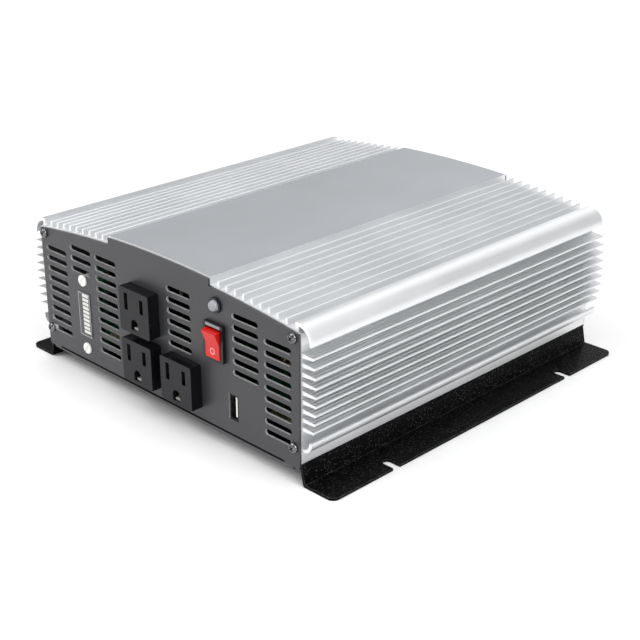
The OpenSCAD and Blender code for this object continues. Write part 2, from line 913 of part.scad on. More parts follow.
// the tongue stands towards the board side of the shell, on a moulded back block
module usb_insert() {
    w = usb_w - 2 * usb_wall;
    h = usb_h - 2 * usb_wall;
    color("gainsboro") placed() translate([usb_x, 0, usb_z]) {
        slab(usb_depth - usb_wall - usb_block, usb_depth - usb_wall) square([w, h], center = true);
        translate([w / 2 - 0.5 - usb_tongue / 2, 0, 0]) slab(panel_t, usb_depth - usb_block + join) {
            square([usb_tongue, h - 1.4], center = true);
        }
    }
}

module usb_board() {
    x = usb_x + usb_w / 2;
    color("darkgreen") placed() box(x, x + pcb_t, panel_t + 1.5, board_y0 + 12, board_top, usb_z + 11);
}

// ---- main board ----

module board_posts() {
    both_sides() for (f = standoff_rows) translate([standoff_x, board_y0 + f * board_l, 0]) children();
}

module main_board() {
    color("darkgreen") placed() difference() {
        box(-board_half, board_half, board_y0, board_y1, board_z, board_top);
        board_posts() translate([0, 0, board_z - 1]) cylinder(r = m3_r + slip, h = 4);
    }
}

module board_standoffs() {
    color("goldenrod") placed() board_posts() translate([0, 0, floor_top + sheet_t]) difference() {
        cylinder(r = standoff_across_r, h = standoff_h, $fn = 6);
        translate([0, 0, -1]) cylinder(r = m3_r + run_gap, h = standoff_h + 2);
    }
}

module board_screws() {
    half = standoff_h / 2 - 0.3;
    color("silver") placed() board_posts() {
        translate([0, 0, board_top]) pan_screw(m3_r, pcb_t + half, m3_head_r, m3_head_h);
        translate([0, 0, floor_z]) mirror([0, 0, 1]) {
            pan_screw(m3_r, base_t + sheet_t + half, m3_head_r, m3_head_h);
        }
    }
}

module insulation_sheet() {
    color("#e8e2b8") placed() difference() {
        box(-seat_in + 1, seat_in - 1, board_y0 - 4, board_y1 + 2, floor_top, floor_top + sheet_t);
        board_posts() translate([0, 0, floor_top - 1]) cylinder(r = m3_r + slip, h = 3);
    }
}

// ---- parts on the main board ----

core_w = 44;
core_h = 38;
core_d = 16;
core_leg = 14;
core_window_w = 8.5;
core_window_h = 24;
coil_w = core_leg + 2 * core_window_w - 0.6;
coil_d = 34;
bobbin_h = 4;
core_z = board_top + bobbin_h;
core_x = board_half * 0.47;
core_y = board_y0 + 0.5 * board_l;

module transformer_places() {
    both_sides() translate([core_x, core_y, 0]) children();
}

module transformer_bobbins() {
    color("#1e1e20") placed() transformer_places() {
        box(-core_w / 2 + 2, core_w / 2 - 2, -coil_d / 2 - 2, coil_d / 2 + 2, board_top, core_z);
    }
}

module transformer_cores() {
    color("#4a4a4e") placed() transformer_places() translate([0, 0, core_z + core_h / 2]) difference() {
        slab(-core_d / 2, core_d / 2) square([core_w, core_h], center = true);
        for (s = [-1, 1]) translate([s * (core_leg + core_window_w) / 2, 0, 0]) {
            slab(-core_d, core_d) square([core_window_w, core_window_h], center = true);
        }
    }
}

module transformer_coils() {
    h = core_window_h - 0.6;
    color("gold") placed() transformer_places() translate([0, 0, core_z + (core_h - h) / 2]) difference() {
        linear_extrude(h) rounded(coil_w, coil_d, 4);
        translate([0, 0, -1]) linear_extrude(h + 2) square([core_leg + 0.2, core_d + 0.2], center = true);
    }
}

cap_r = 8;
cap_l = 30;
cap_y = board_y0 + 0.84 * board_l;

module input_capacitors() {
    step = (board_half - 26) / 4;
    color("#20305a") placed() for (i = [0 : 3], j = [0, 1]) {
        translate([-board_half + 17 + i * step, cap_y + (j - 0.5) * (2 * cap_r + 1.5), board_top]) {
            cylinder(r = cap_r - 0.4, h = 1.2);
            translate([0, 0, 1.2]) cylinder(r = min(cap_r, step / 2 - 0.2), h = cap_l - 1.2);
        }
    }
}

bulk_r = 15;
bulk_l = 45;
bulk_y = board_y0 + 0.22 * board_l;

module bulk_capacitors() {
    color("#2a2a2e") placed() for (x = [-0.66, -0.3]) {
        translate([x * board_half, bulk_y, board_top]) {
            cylinder(r = bulk_r - 1, h = 2);
            translate([0, 0, 2]) cylinder(r = bulk_r, h = bulk_l - 2);
        }
    }
}

// transistors stand between an aluminium spreader on the wall and a steel clamp bar
spreader_t = 5;
device_t = 4.5;
clamp_t = 2.5;
device_z = board_top + 12;
device_h = 16;
device_w = 10.2;
device_pitch = board_l * 0.86 / transistors;
device_y0 = board_y0 + 0.09 * board_l;
spreader_x = wall_in - spreader_t;
device_x = spreader_x - device_t;
clamp_x = device_x - clamp_t;

module heat_spreaders() {
    color("lightgray") placed() difference() {
        both_sides() {
            box(spreader_x, wall_in, device_y0 - 6, device_y0 + transistors * device_pitch + 2,
                screw_low + channel_r + 2, device_z + device_h + 6);
        }
        clamp_screw_places() rotate([0, 90, 0]) translate([0, 0, -1]) {
            cylinder(r = m3_r + run_gap, h = spreader_t);
        }
    }
}

module clamp_screw_places() {
    both_sides() for (i = [0 : 2 : transistors]) {
        y = device_y0 + (i - 0.5) * device_pitch + device_w / 2;
        translate([spreader_x, y, device_z + device_h / 2]) children();
    }
}

module power_transistors() {
    color("#18181a") placed() both_sides() for (i = [0 : transistors - 1]) {
        y = device_y0 + i * device_pitch;
        box(device_x, spreader_x, y, y + device_w, device_z, device_z + device_h);
        for (k = [0, 1, 2]) {
            box(device_x + 1.6, device_x + 2.2, y + 2.2 + k * 2.54, y + 2.9 + k * 2.54, board_top, device_z);
        }
    }
}

module clamp_bars() {
    color("gray") placed() difference() {
        both_sides() {
            box(clamp_x, device_x, device_y0 - 6, device_y0 + transistors * device_pitch + 2,
                device_z + 2, device_z + device_h - 2);
        }
        clamp_screw_places() rotate([0, -90, 0]) cylinder(r = m3_r + slip, h = 20);
    }
}

module clamp_screws() {
    l = spreader_x - clamp_x + 3.5;
    color("silver") placed() clamp_screw_places() translate([clamp_x - spreader_x, 0, 0]) {
        rotate([0, -90, 0]) pan_screw(m3_r, l, m3_head_r, m3_head_h);
    }
}

// the fuses spread between the positive busbar and the heads of the clamp screws
fuse_count = 6;
fuse_x0 = stud_x + 11;
fuse_x1 = clamp_x - 8.9;
fuse_pitch = (fuse_x1 - fuse_x0) / (fuse_count - 1);

module blade_fuses() {
    w = min(5, fuse_pitch - 1.5);
    color("orange") placed() for (i = [0 : fuse_count - 1]) {
        translate([fuse_x0 + i * fuse_pitch, cap_y, board_top]) {
            for (s = [-1, 1]) box(w / 2 - 0.4, w / 2 + 0.4, s * 6.8 - 2.6, s * 6.8 + 2.6, 0, 7);
            box(0, w, -9.5, 9.5, 7, 19);
        }
    }
}

// each busbar hangs on its stud, drops to the main board and runs forwards along it
module copper_busbars() {
    y1 = body_l - ring_t;
    y0 = y1 - bar_t;
    w = min(6.5, stud_x - 1.5);
    color("#b8733a") placed() both_sides() difference() {
        union() {
            box(stud_x - w, stud_x + w, y0, y1, board_top, stud_z + 8);
            box(stud_x - w, stud_x + w, board_y1 - 8, y1, board_top, board_top + bar_t);
        }
        rod(stud_x, stud_z, stud_r + slip, y0 - 1, y1 + 1);
    }
}

choke_x = board_half * 0.5;
choke_ring = 13;
choke_core_r = 5;
choke_wire = 0.7;
choke_turns = 18;
choke_z = board_top + choke_core_r + 2 * choke_wire + 0.2;

module choke_core() {
    color("#8a8f3c") placed() translate([choke_x, bulk_y, choke_z]) {
        rotate_extrude() translate([choke_ring, 0]) circle(choke_core_r);
    }
}

module choke_winding() {
    color("#b8733a") placed() translate([choke_x, bulk_y, choke_z]) {
        for (i = [0 : choke_turns - 1]) rotate([0, 0, i * 360 / choke_turns]) {
            translate([choke_ring, 0, 0]) rotate([90, 0, 0]) rotate_extrude() {
                translate([choke_core_r + choke_wire + 0.1, 0]) circle(choke_wire, $fn = 24);
            }
        }
    }
}

module control_card() {
    y = board_y0 + 0.34 * board_l;
    color("darkgreen") placed() {
        box(-26, 26, y, y + pcb_t, board_top, board_top + 30);
        for (x = [-14, 8]) box(x, x + 10, y - 3.4, y, board_top + 10, board_top + 16.5);
    }
}

// ---- cooling fans ----

module fan_corner_places() {
    for (i = [-1, 1], j = [-1, 1]) translate([i * fan_hole, 0, j * fan_hole]) children();
}

// square frame with a motor mount carried on four struts at its inner face
module fan_frame(side) {
    color("#161618") placed() translate([side * fan_x, 0, fan_z]) {
        difference() {
            slab(fan_y0, fan_y1) rounded(fan_size, fan_size, 3);
            rod(0, 0, fan_bore, fan_y0 - 1, fan_y1 + 1);
            fan_corner_places() rod(0, 0, fan_screw_r + slip, fan_y0 - 1, fan_y1 + 1);
        }
        difference() {
            union() {
                rod(0, 0, hub_r, fan_y0, fan_y0 + mount_t);
                for (a = [45 : 90 : 359]) rotate([0, a, 0]) {
                    box(hub_r - 1, fan_bore + 0.5, fan_y0, fan_y0 + mount_t, -strut_w / 2, strut_w / 2);
                }
                rod(0, 0, boss_r, fan_y0, fan_y0 + boss_l);
            }
            rod(0, 0, shaft_r + run_gap, fan_y0 + 1, fan_y1);
        }
    }
}

module fan_frame_left() {
    fan_frame(-1);
}

module fan_frame_right() {
    fan_frame(1);
}

module fan_rotor(side) {
    y0 = fan_y0 + mount_t + 0.8;
    y1 = fan_y1 - 1.2;
    color("#1e1e21") placed() translate([side * fan_x, 0, fan_z]) {
        difference() {
            rod(0, 0, hub_r, y0, y1);
            rod(0, 0, hub_r - 1.5, y0 - 1, y1 - 2);
        }
        rod(0, 0, shaft_r, fan_y0 + 1.5, y1 - 1);
        intersection() {
            difference() {
                rod(0, 0, fan_bore - 1, y0 + 0.5, y1 - 0.5);
                rod(0, 0, hub_r - 0.5, y0, y1);
            }
            for (k = [0 : blade_count - 1]) rotate([0, k * 360 / blade_count, 0]) {
                translate([0, (y0 + y1) / 2, 0]) rotate([blade_pitch, 0, 0]) {
                    translate([0, -fan_depth, -blade_t / 2]) cube([fan_size, 2 * fan_depth, blade_t]);
                }
            }
        }
    }
}

module fan_rotor_left() {
    fan_rotor(-1);
}

module fan_rotor_right() {
    fan_rotor(1);
}

module wire_ring(r, y) {
    translate([0, y, 0]) rotate([90, 0, 0]) rotate_extrude() translate([r, 0]) circle(guard_wire, $fn = 24);
}

// four spokes lie on the panel, each ending in an eye for a fan screw, and carry a centre disc and rings
module fan_guard(side) {
    y_spoke = back_l + guard_wire;
    y_ring = y_spoke + 1.5 * guard_wire;
    eye = fan_screw_r + 0.3 + guard_wire;
    disc_r = guard_disc * fan_bore;
    spoke_out = fan_hole * sqrt(2) - eye + 0.2;
    color("silver") placed() translate([side * fan_x, 0, fan_z]) {
        rod(0, 0, disc_r, y_spoke, y_ring + guard_wire);
        for (f = guard_rings) wire_ring(f * fan_bore, y_ring);
        for (a = [45 : 90 : 359]) rotate([0, a, 0]) {
            translate([disc_r - 1, y_spoke, 0]) rotate([0, 90, 0]) {
                cylinder(r = guard_wire, h = spoke_out - disc_r + 1);
            }
            translate([fan_hole * sqrt(2), 0, 0]) wire_ring(eye, y_spoke + eye_lift);
        }
    }
}

module fan_guard_left() {
    fan_guard(-1);
}

module fan_guard_right() {
    fan_guard(1);
}

module fan_screw_places() {
    both_sides() translate([fan_x, 0, fan_z]) fan_corner_places() children();
}

module fan_screws() {
    seat = back_l + 2 * guard_wire + eye_lift;
    color("silver") placed() fan_screw_places() {
        screw_back(0, 0, seat, fan_screw_r, seat - fan_y0 + 5, 3.8, 2.6);
    }
}

module fan_nuts() {
    color("silver") placed() fan_screw_places() nut_y(0, 0, 7, fan_screw_r + run_gap, fan_y0 - 3.2, 3.2);
}

module fan_leads() {
    z = max(fan_z - fan_bore + 1, board_top + 1.4);
    y = board_y1 - 4;
    color("firebrick") placed() both_sides() for (x = [fan_x - 2, fan_x + 2]) {
        lead([[x, fan_y0, z], [x, y, z], [x, y, board_top]], 0.8);
    }
}

// ---- DC studs ----

module terminal_bush(side) {
    difference() {
        union() {
            rod(side * stud_x, stud_z, collar_r, back_l, back_l + collar_t);
            rod(side * stud_x, stud_z, sleeve_r, body_l - 3, back_l + 0.1);
        }
        rod(side * stud_x, stud_z, stud_r + slip, body_l - 5, back_l + collar_t + 1);
    }
}

module terminal_positive() {
    color("#c0201e") placed() terminal_bush(1);
}

module terminal_negative() {
    color("#141416") placed() terminal_bush(-1);
}

module terminal_rings() {
    color("#141416") placed() both_sides() difference() {
        tube(stud_x, stud_z, collar_r, stud_r + slip, body_l - ring_t, body_l);
        rod(stud_x, stud_z, sleeve_r + slip, body_l - 3.1, body_l + 1);
    }
}

// each stud is as thick as its thread's root where its nuts hold it, and full size past them
module terminal_studs() {
    y_nut = stud_y1 - stud_free;
    color("goldenrod") placed() both_sides() {
        rod(stud_x, stud_z, stud_root_r, body_l - ring_t - bar_t - stud_in, y_nut + join);
        rod(stud_x, stud_z, stud_r, y_nut, stud_y1);
    }
}

module terminal_nuts() {
    across = 1.6 * stud_d;
    washer_r = min(collar_r, stud_x) - 0.6;
    y_out = back_l + collar_t;
    y_in = body_l - ring_t - bar_t;
    color("silver") placed() both_sides() {
        tube(stud_x, stud_z, washer_r, stud_r + run_gap, y_out, y_out + stud_washer_t);
        nut_y(stud_x, stud_z, across, stud_root_r + run_gap, y_out + stud_washer_t, stud_nut_h);
        nut_y(stud_x, stud_z, across, stud_root_r + run_gap, y_in - stud_nut_h, stud_nut_h);
    }
}

module ground_terminal() {
    color("silver") placed() {
        tube(0, ground_z, 5, 2.5 + run_gap, back_l, back_l + 1);
        screw_back(0, ground_z, back_l + 1, 2.5, 10, 4.6, 3.2);
        nut_y(0, ground_z, 8, 2.5 + run_gap, body_l - 4, 4);
    }
}

housing();
base_plate();
front_panel();
rear_panel();
front_screws();
rear_screws();
base_screws();
outlet_upper();
outlet_lower_left();
outlet_lower_right();
outlet_contacts();
outlet_leads();
switch_body();
switch_rocker();
switch_terminals();
lamp_bezel();
lamp_lens();
display_window();
display_module();
display_bars();
display_board();
display_spacers();
display_screws();
display_nuts();
usb_shell();
usb_insert();
usb_board();
main_board();
board_standoffs();
board_screws();
insulation_sheet();
transformer_bobbins();
transformer_cores();
transformer_coils();
input_capacitors();
bulk_capacitors();
heat_spreaders();
power_transistors();
clamp_bars();
clamp_screws();
blade_fuses();
copper_busbars();
choke_core();
choke_winding();
control_card();
fan_frame_left();
fan_frame_right();
fan_rotor_left();
fan_rotor_right();
fan_guard_left();
fan_guard_right();
fan_screws();
fan_nuts();
fan_leads();
terminal_positive();
terminal_negative();
terminal_rings();
terminal_studs();
terminal_nuts();
ground_terminal();
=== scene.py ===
"""Power inverter: its looks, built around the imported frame.

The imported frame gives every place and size. Each class below is one sub-assembly: its fields hold the
sizes that only the looks need, in millimetres, and its methods build the meshes and dress them. Pieces
that the frame already shapes well keep their CAD node and only get a finish.
"""

import logging
import math
from collections.abc import Callable, Iterable, Sequence
from dataclasses import dataclass, field
from enum import Enum

import bmesh
import bpy
from mathutils import Matrix, Vector


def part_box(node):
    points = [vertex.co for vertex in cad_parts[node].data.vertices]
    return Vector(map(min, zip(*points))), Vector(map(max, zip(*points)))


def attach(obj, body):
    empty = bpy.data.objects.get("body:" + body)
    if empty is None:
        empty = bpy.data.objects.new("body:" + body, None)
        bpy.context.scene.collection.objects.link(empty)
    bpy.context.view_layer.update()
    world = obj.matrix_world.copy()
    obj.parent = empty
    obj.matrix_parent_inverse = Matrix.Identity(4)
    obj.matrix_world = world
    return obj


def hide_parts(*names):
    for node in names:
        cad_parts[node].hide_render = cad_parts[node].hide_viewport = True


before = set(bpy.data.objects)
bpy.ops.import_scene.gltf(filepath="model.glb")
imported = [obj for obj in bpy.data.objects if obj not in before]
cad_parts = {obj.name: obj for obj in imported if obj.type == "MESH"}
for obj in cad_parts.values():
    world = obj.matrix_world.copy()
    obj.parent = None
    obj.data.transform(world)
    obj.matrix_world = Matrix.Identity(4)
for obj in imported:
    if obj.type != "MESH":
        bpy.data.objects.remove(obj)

LOG = logging.getLogger("inverter")
MM = 0.001
TURN = 2 * math.pi
CASE = "case"
SAME_POINT = 2e-6
SHARP_DEGREES = 33.0

Colour = tuple[float, float, float]
Points = Sequence[tuple[float, float]]


# ---- node trees -------------------------------------------------------------------------------


def find_socket(sockets: Iterable, key: str | int) -> bpy.types.NodeSocket:
    """Finds a socket by its number, its identifier or its shown name.

    Args:
        sockets: A node's inputs or outputs.
        key: The number, identifier or name.

    Returns:
        The socket, preferring one that the node shows.
    """
    listed = list(sockets)
    if isinstance(key, int):
        return listed[key]
    hits = [s for s in listed if s.identifier == key] or [s for s in listed if s.name == key]
    shown = [s for s in hits if s.enabled]
    return (shown or hits)[0]


class Wire:
    """An output socket that takes part in ordinary arithmetic, each step adding a Math node."""

    def __init__(self, tree: "NodeTree", socket: bpy.types.NodeSocket) -> None:
        """Wraps one output socket of a tree."""
        self.tree = tree
        self.socket = socket

    def _maths(self, operation: str, *values: "Wire | float", clamp: bool = False) -> "Wire":
        """Adds one Math node and returns its result."""
        settings = {"operation": operation, "use_clamp": clamp}
        return self.tree.node("ShaderNodeMath", settings, dict(enumerate(values)))

    def __add__(self, other: "Wire | float") -> "Wire":
        """self + other."""
        return self._maths("ADD", self, other)

    def __radd__(self, other: float) -> "Wire":
        """other + self."""
        return self._maths("ADD", other, self)

    def __sub__(self, other: "Wire | float") -> "Wire":
        """self - other."""
        return self._maths("SUBTRACT", self, other)

    def __rsub__(self, other: float) -> "Wire":
        """other - self."""
        return self._maths("SUBTRACT", other, self)

    def __mul__(self, other: "Wire | float") -> "Wire":
        """self * other."""
        return self._maths("MULTIPLY", self, other)

    def __rmul__(self, other: float) -> "Wire":
        """other * self."""
        return self._maths("MULTIPLY", other, self)

    def __truediv__(self, other: "Wire | float") -> "Wire":
        """self / other."""
        return self._maths("DIVIDE", self, other)

    def __rtruediv__(self, other: float) -> "Wire":
        """other / self."""
        return self._maths("DIVIDE", other, self)

    def cos(self) -> "Wire":
        """The cosine of self, in radians."""
        return self._maths("COSINE", self)

    def sin(self) -> "Wire":
        """The sine of self, in radians."""
        return self._maths("SINE", self)

    def limited(self) -> "Wire":
        """self held between 0 and 1."""
        return self._maths("ADD", self, 0.0, clamp=True)

    def eased(self, low: float, high: float) -> "Wire":
        """0 below low and 1 above high, with a smooth step between."""
        settings = {"interpolation_type": "SMOOTHSTEP"}
        sockets = {"Value": self, "From Min": low, "From Max": high}
        return self.tree.node("ShaderNodeMapRange", settings, sockets)


class NodeTree:
    """A node tree that is filled by one method."""

    def __init__(self, group: bpy.types.NodeTree) -> None:
        """Wraps an empty or a new tree."""
        self.group = group

    def node(
        self,
        kind: str,
        settings: dict | None = None,
        sockets: dict | None = None,
        out: str | int = 0,
    ) -> Wire:
        """Adds a node, sets it up and wires it.

        Args:
            kind: The node's type.
            settings: Properties of the node, set before its sockets; "stops" holds a ramp's stops.
            sockets: Values or wires for the inputs, by number, identifier or name.
            out: The output to return.

        Returns:
            The chosen output.
        """
        made = self.group.nodes.new(kind)
        for name, value in (settings or {}).items():
            if name == "stops":
                self._set_stops(made.color_ramp, value)
            else:
                setattr(made, name, value)
        for key, value in (sockets or {}).items():
            target = find_socket(made.inputs, key)
            if isinstance(value, Wire):
                self.group.links.new(value.socket, target)
            else:
                target.default_value = value
        return Wire(self, find_socket(made.outputs, out)) if len(made.outputs) else None

    @staticmethod
    def _set_stops(ramp: bpy.types.ColorRamp, stops: Sequence[tuple[float, float]]) -> None:
        """Gives a ramp its stops, as pairs of a position and a grey."""
        while len(ramp.elements) < len(stops):
            ramp.elements.new(1.0)
        for element, (at, grey) in zip(ramp.elements, stops):
            element.position = at
            element.color = (grey, grey, grey, 1.0)


class Shader(NodeTree):
    """The node tree of one material."""

    def __init__(self, name: str) -> None:
        """Makes the material with its Principled BSDF."""
        self.material = bpy.data.materials.new(name)
        self.material.use_nodes = True
        super().__init__(self.material.node_tree)
        kinds = {n.bl_idname: n for n in self.group.nodes}
        self.surface = kinds["ShaderNodeBsdfPrincipled"]

    def set(self, **values: "Wire | float | Colour") -> None:
        """Sets or wires inputs of the surface; Base_Color stands for Base Color."""
        for key, value in values.items():
            target = find_socket(self.surface.inputs, key.replace("_", " "))
            if isinstance(value, Wire):
                self.group.links.new(value.socket, target)
            elif isinstance(value, tuple):
                target.default_value = (*value, 1.0)
            else:
                target.default_value = value

    def place(self, stretch: Colour = (1.0, 1.0, 1.0)) -> Wire:
        """The point on the piece in millimetres, stretched along each axis."""
        here = self.node("ShaderNodeTexCoord", out="Object")
        scale = tuple(s / MM for s in stretch)
        return self.node("ShaderNodeMapping", {}, {"Vector": here, "Scale": scale}, "Vector")

    def noise(self, place: Wire, size: float, detail: float = 3.0, rough: float = 0.55) -> Wire:
        """Soft noise with features of about size millimetres."""
        sockets = {"Vector": place, "Scale": 1 / size, "Detail": detail, "Roughness": rough}
        return self.node("ShaderNodeTexNoise", {}, sockets, 0)

    def cells(self, place: Wire, size: float, feature: str = "F1") -> Wire:
        """Distance to the middle or the edge of cells of about size millimetres."""
        sockets = {"Vector": place, "Scale": 1 / size}
        return self.node("ShaderNodeTexVoronoi", {"feature": feature}, sockets, "Distance")

    def axis(self, place: Wire, name: str) -> Wire:
        """One coordinate of a place."""
        return self.node("ShaderNodeSeparateXYZ", {}, {"Vector": place}, name)

    def mix(self, mask: Wire, low: Colour, high: Colour) -> Wire:
        """A colour between low and high."""
        sockets = {"Factor_Float": mask, "A_Color": (*low, 1.0), "B_Color": (*high, 1.0)}
        return self.node("ShaderNodeMix", {"data_type": "RGBA"}, sockets, "Result_Color")

    def bump(self, height: Wire, depth: float, strength: float = 1.0) -> Wire:
        """Relief of the given depth in millimetres."""
        sockets = {"Height": height, "Distance": depth * MM, "Strength": strength}
        return self.node("ShaderNodeBump", {}, sockets, "Normal")


# ---- finishes ---------------------------------------------------------------------------------


def scaled(colour: Colour, by: float) -> Colour:
    """A colour made lighter or darker, held below white."""
    return tuple(min(1.0, c * by) for c in colour)


@dataclass(frozen=True)
class Finish:
    """A finish with a fine relief and a slow drift of colour and gloss.

    Fields give its name, colour, roughness, metallic share, grain size and depth in millimetres, the
    drift of its colour, its clear coat and its level of reflection.
    """

    name: str
    colour: Colour
    roughness: float = 0.5
    metallic: float = 0.0
    grain: float = 0.6
    depth: float = 0.01
    drift: float = 0.08
    coat: float = 0.0
    gloss: float = 0.5

    def material(self) -> bpy.types.Material:
        """The finish as a material, made once."""
        known = bpy.data.materials.get(self.name)
        if known is not None:
            return known
        shader = Shader(self.name)
        shader.set(Metallic=self.metallic, Coat_Weight=self.coat, Specular_IOR_Level=self.gloss)
        self.paint(shader)
        return shader.material

    def relief(self, shader: Shader, place: Wire) -> Wire:
        """Height of the surface, from 0 to 1."""
        return shader.noise(place, self.grain, detail=5.0)

    def paint(self, shader: Shader) -> None:
        """Wires colour, roughness and relief."""
        place = shader.place()
        cloud = shader.noise(place, 28.0)
        height = self.relief(shader, place)
        tone = (cloud * 0.7 + height * 0.3).eased(0.25, 0.75)
        low, high = scaled(self.colour, 1 - self.drift), scaled(self.colour, 1 + self.drift)
        shader.set(
            Base_Color=shader.mix(tone, low, high),
            Roughness=(self.roughness + (cloud - 0.5) * 0.16 + (height - 0.5) * 0.08).limited(),
            Normal=shader.bump(height, self.depth),
        )


@dataclass(frozen=True)
class DrawnMetal(Finish):
    """Extruded or rolled metal, with die lines along one axis."""

    line: float = 1.3
    reach: float = 160.0

    def paint(self, shader: Shader) -> None:
        """Wires die lines into the gloss and the relief, with faint dull clouds."""
        long = shader.place((1.0, self.line / self.reach, 1.0))
        place = shader.place()
        lines = shader.noise(long, self.line, detail=4.0, rough=0.7)
        cloud = shader.noise(place, 34.0)
        fine = shader.noise(place, self.grain, detail=4.0)
        tone = (lines * 0.6 + cloud * 0.4).eased(0.3, 0.7)
        low, high = scaled(self.colour, 1 - self.drift), scaled(self.colour, 1 + self.drift)
        shader.set(
            Base_Color=shader.mix(tone, low, high),
            Roughness=(self.roughness + (lines - 0.5) * 0.12 + (cloud - 0.5) * 0.1).limited(),
            Normal=shader.bump(lines * 0.5 + fine * 0.5, self.depth),
        )


@dataclass(frozen=True)
class PowderCoat(Finish):
    """Baked powder paint: rounded pebbles with a finer peel on them, and paler colour on their tops as
    painted glints.
    """

    pebble: float = 1.1
    glint_colour: Colour = (0.1, 0.1, 0.1)

    def paint(self, shader: Shader) -> None:
        """Wires pebbles into the relief and the gloss, and their tops into the colour as painted glints."""
        place = shader.place()
        cloud = shader.noise(place, 28.0)
        pebbles = (1 - shader.cells(place, self.pebble) * 1.5).limited()
        peel = shader.noise(place, self.grain, detail=4.0)
        # The pebble tops, lightened in the colour below: painted glints.
        tops = (pebbles * peel * 2).eased(0.56, 0.86)
        shader.set(
            Base_Color=shader.mix(tops * (0.55 + cloud * 0.6), self.colour, self.glint_colour),
            Roughness=(self.roughness - tops * 0.12 + (cloud - 0.5) * 0.14).limited(),
            Normal=shader.bump(pebbles * 0.65 + peel * 0.35, self.depth),
        )


@dataclass(frozen=True)
class MouldedPlastic(Finish):
    """Moulded plastic with the spark-eroded texture of its mould."""

    def relief(self, shader: Shader, place: Wire) -> Wire:
        """Shallow pits of the mould."""
        return shader.cells(place, self.grain) * 0.6 + shader.noise(place, self.grain * 2.4) * 0.4


@dataclass(frozen=True)
class PlatedMetal(Finish):
    """Plated or blackened steel with tumble marks and a little staining."""

    def paint(self, shader: Shader) -> None:
        """Wires stains into colour and gloss, and tumble marks into the relief."""
        place = shader.place()
        marks = shader.noise(place, self.grain, detail=6.0, rough=0.7)
        stain = shader.noise(place, 3.2, detail=4.0)
        low, high = scaled(self.colour, 1 - 2 * self.drift), scaled(self.colour, 1 + self.drift)
        shader.set(
            Base_Color=shader.mix(stain.eased(0.35, 0.62), low, high),
            Roughness=(self.roughness + (stain - 0.5) * 0.25 + (marks - 0.5) * 0.1).limited(),
            Normal=shader.bump(marks, self.depth),
        )


@dataclass(frozen=True)
class ClearPlastic(Finish):
    """Transparent moulded plastic, faintly hazy."""

    transmission: float = 0.95
    ior: float = 1.49

    def paint(self, shader: Shader) -> None:
        """Sets the glassy values and wires a little haze and flow relief."""
        place = shader.place()
        haze = shader.noise(place, 1.6)
        shader.set(
            Transmission_Weight=self.transmission,
            IOR=self.ior,
            Base_Color=shader.mix(haze, scaled(self.colour, 1 - self.drift), self.colour),
            Roughness=(self.roughness + haze * 0.05).limited(),
            Normal=shader.bump(shader.noise(place, self.grain), self.depth),
        )


@dataclass(frozen=True)
class PaintedGlow(Finish):
    """Diffusing plastic with a painted glow: a little emission that brightens it."""

    light: float = 0.3

    def paint(self, shader: Shader) -> None:
        """Adds a soft emission to the plain finish."""
        super().paint(shader)
        cloud = shader.noise(shader.place(), 2.5)
        glow = shader.mix(cloud, scaled(self.colour, 0.8), self.colour)
        shader.set(Emission_Color=glow, Emission_Strength=self.light)


@dataclass(frozen=True)
class CircuitBoard(Finish):
    """Solder mask over copper tracks, with tinned pads."""

    track: float = 2.6

    def paint(self, shader: Shader) -> None:
        """Wires tracks into the colour and relief, and pads into the metallic share."""
        place = shader.place()
        settings = {"feature": "DISTANCE_TO_EDGE"}
        sockets = {"Vector": place, "Scale": 1 / self.track}
        edge = shader.node("ShaderNodeTexVoronoi", settings, sockets, "Distance")
        tracks = 1 - edge.eased(0.05, 0.12)
        sockets = {"Vector": place, "Scale": 1 / (self.track * 1.9)}
        dots = shader.node("ShaderNodeTexVoronoi", {"feature": "F1"}, sockets, "Distance")
        pads = 1 - dots.eased(0.1, 0.16)
        mask = shader.mix(tracks, self.colour, scaled(self.colour, 2.1))
        tinned = shader.node(
            "ShaderNodeMix",
            {"data_type": "RGBA"},
            {"Factor_Float": pads, "A_Color": mask, "B_Color": (0.74, 0.74, 0.72, 1.0)},
            "Result_Color",
        )
        shader.set(
            Base_Color=tinned,
            Metallic=pads,
            Roughness=(self.roughness - pads * 0.15 + tracks * 0.05).limited(),
            Normal=shader.bump(tracks * 0.5 + pads, self.depth),
        )


@dataclass(frozen=True)
class WoundTape(Finish):
    """Turns of tape or wire round an upright bobbin."""

    turn: float = 5.5

    def relief(self, shader: Shader, place: Wire) -> Wire:
        """Overlaps between turns, over fine wrinkles."""
        turns = (shader.axis(place, "Z") * (TURN / self.turn)).sin() * 0.5 + 0.5
        return turns.eased(0.1, 0.5) * 0.7 + shader.noise(place, self.grain) * 0.3


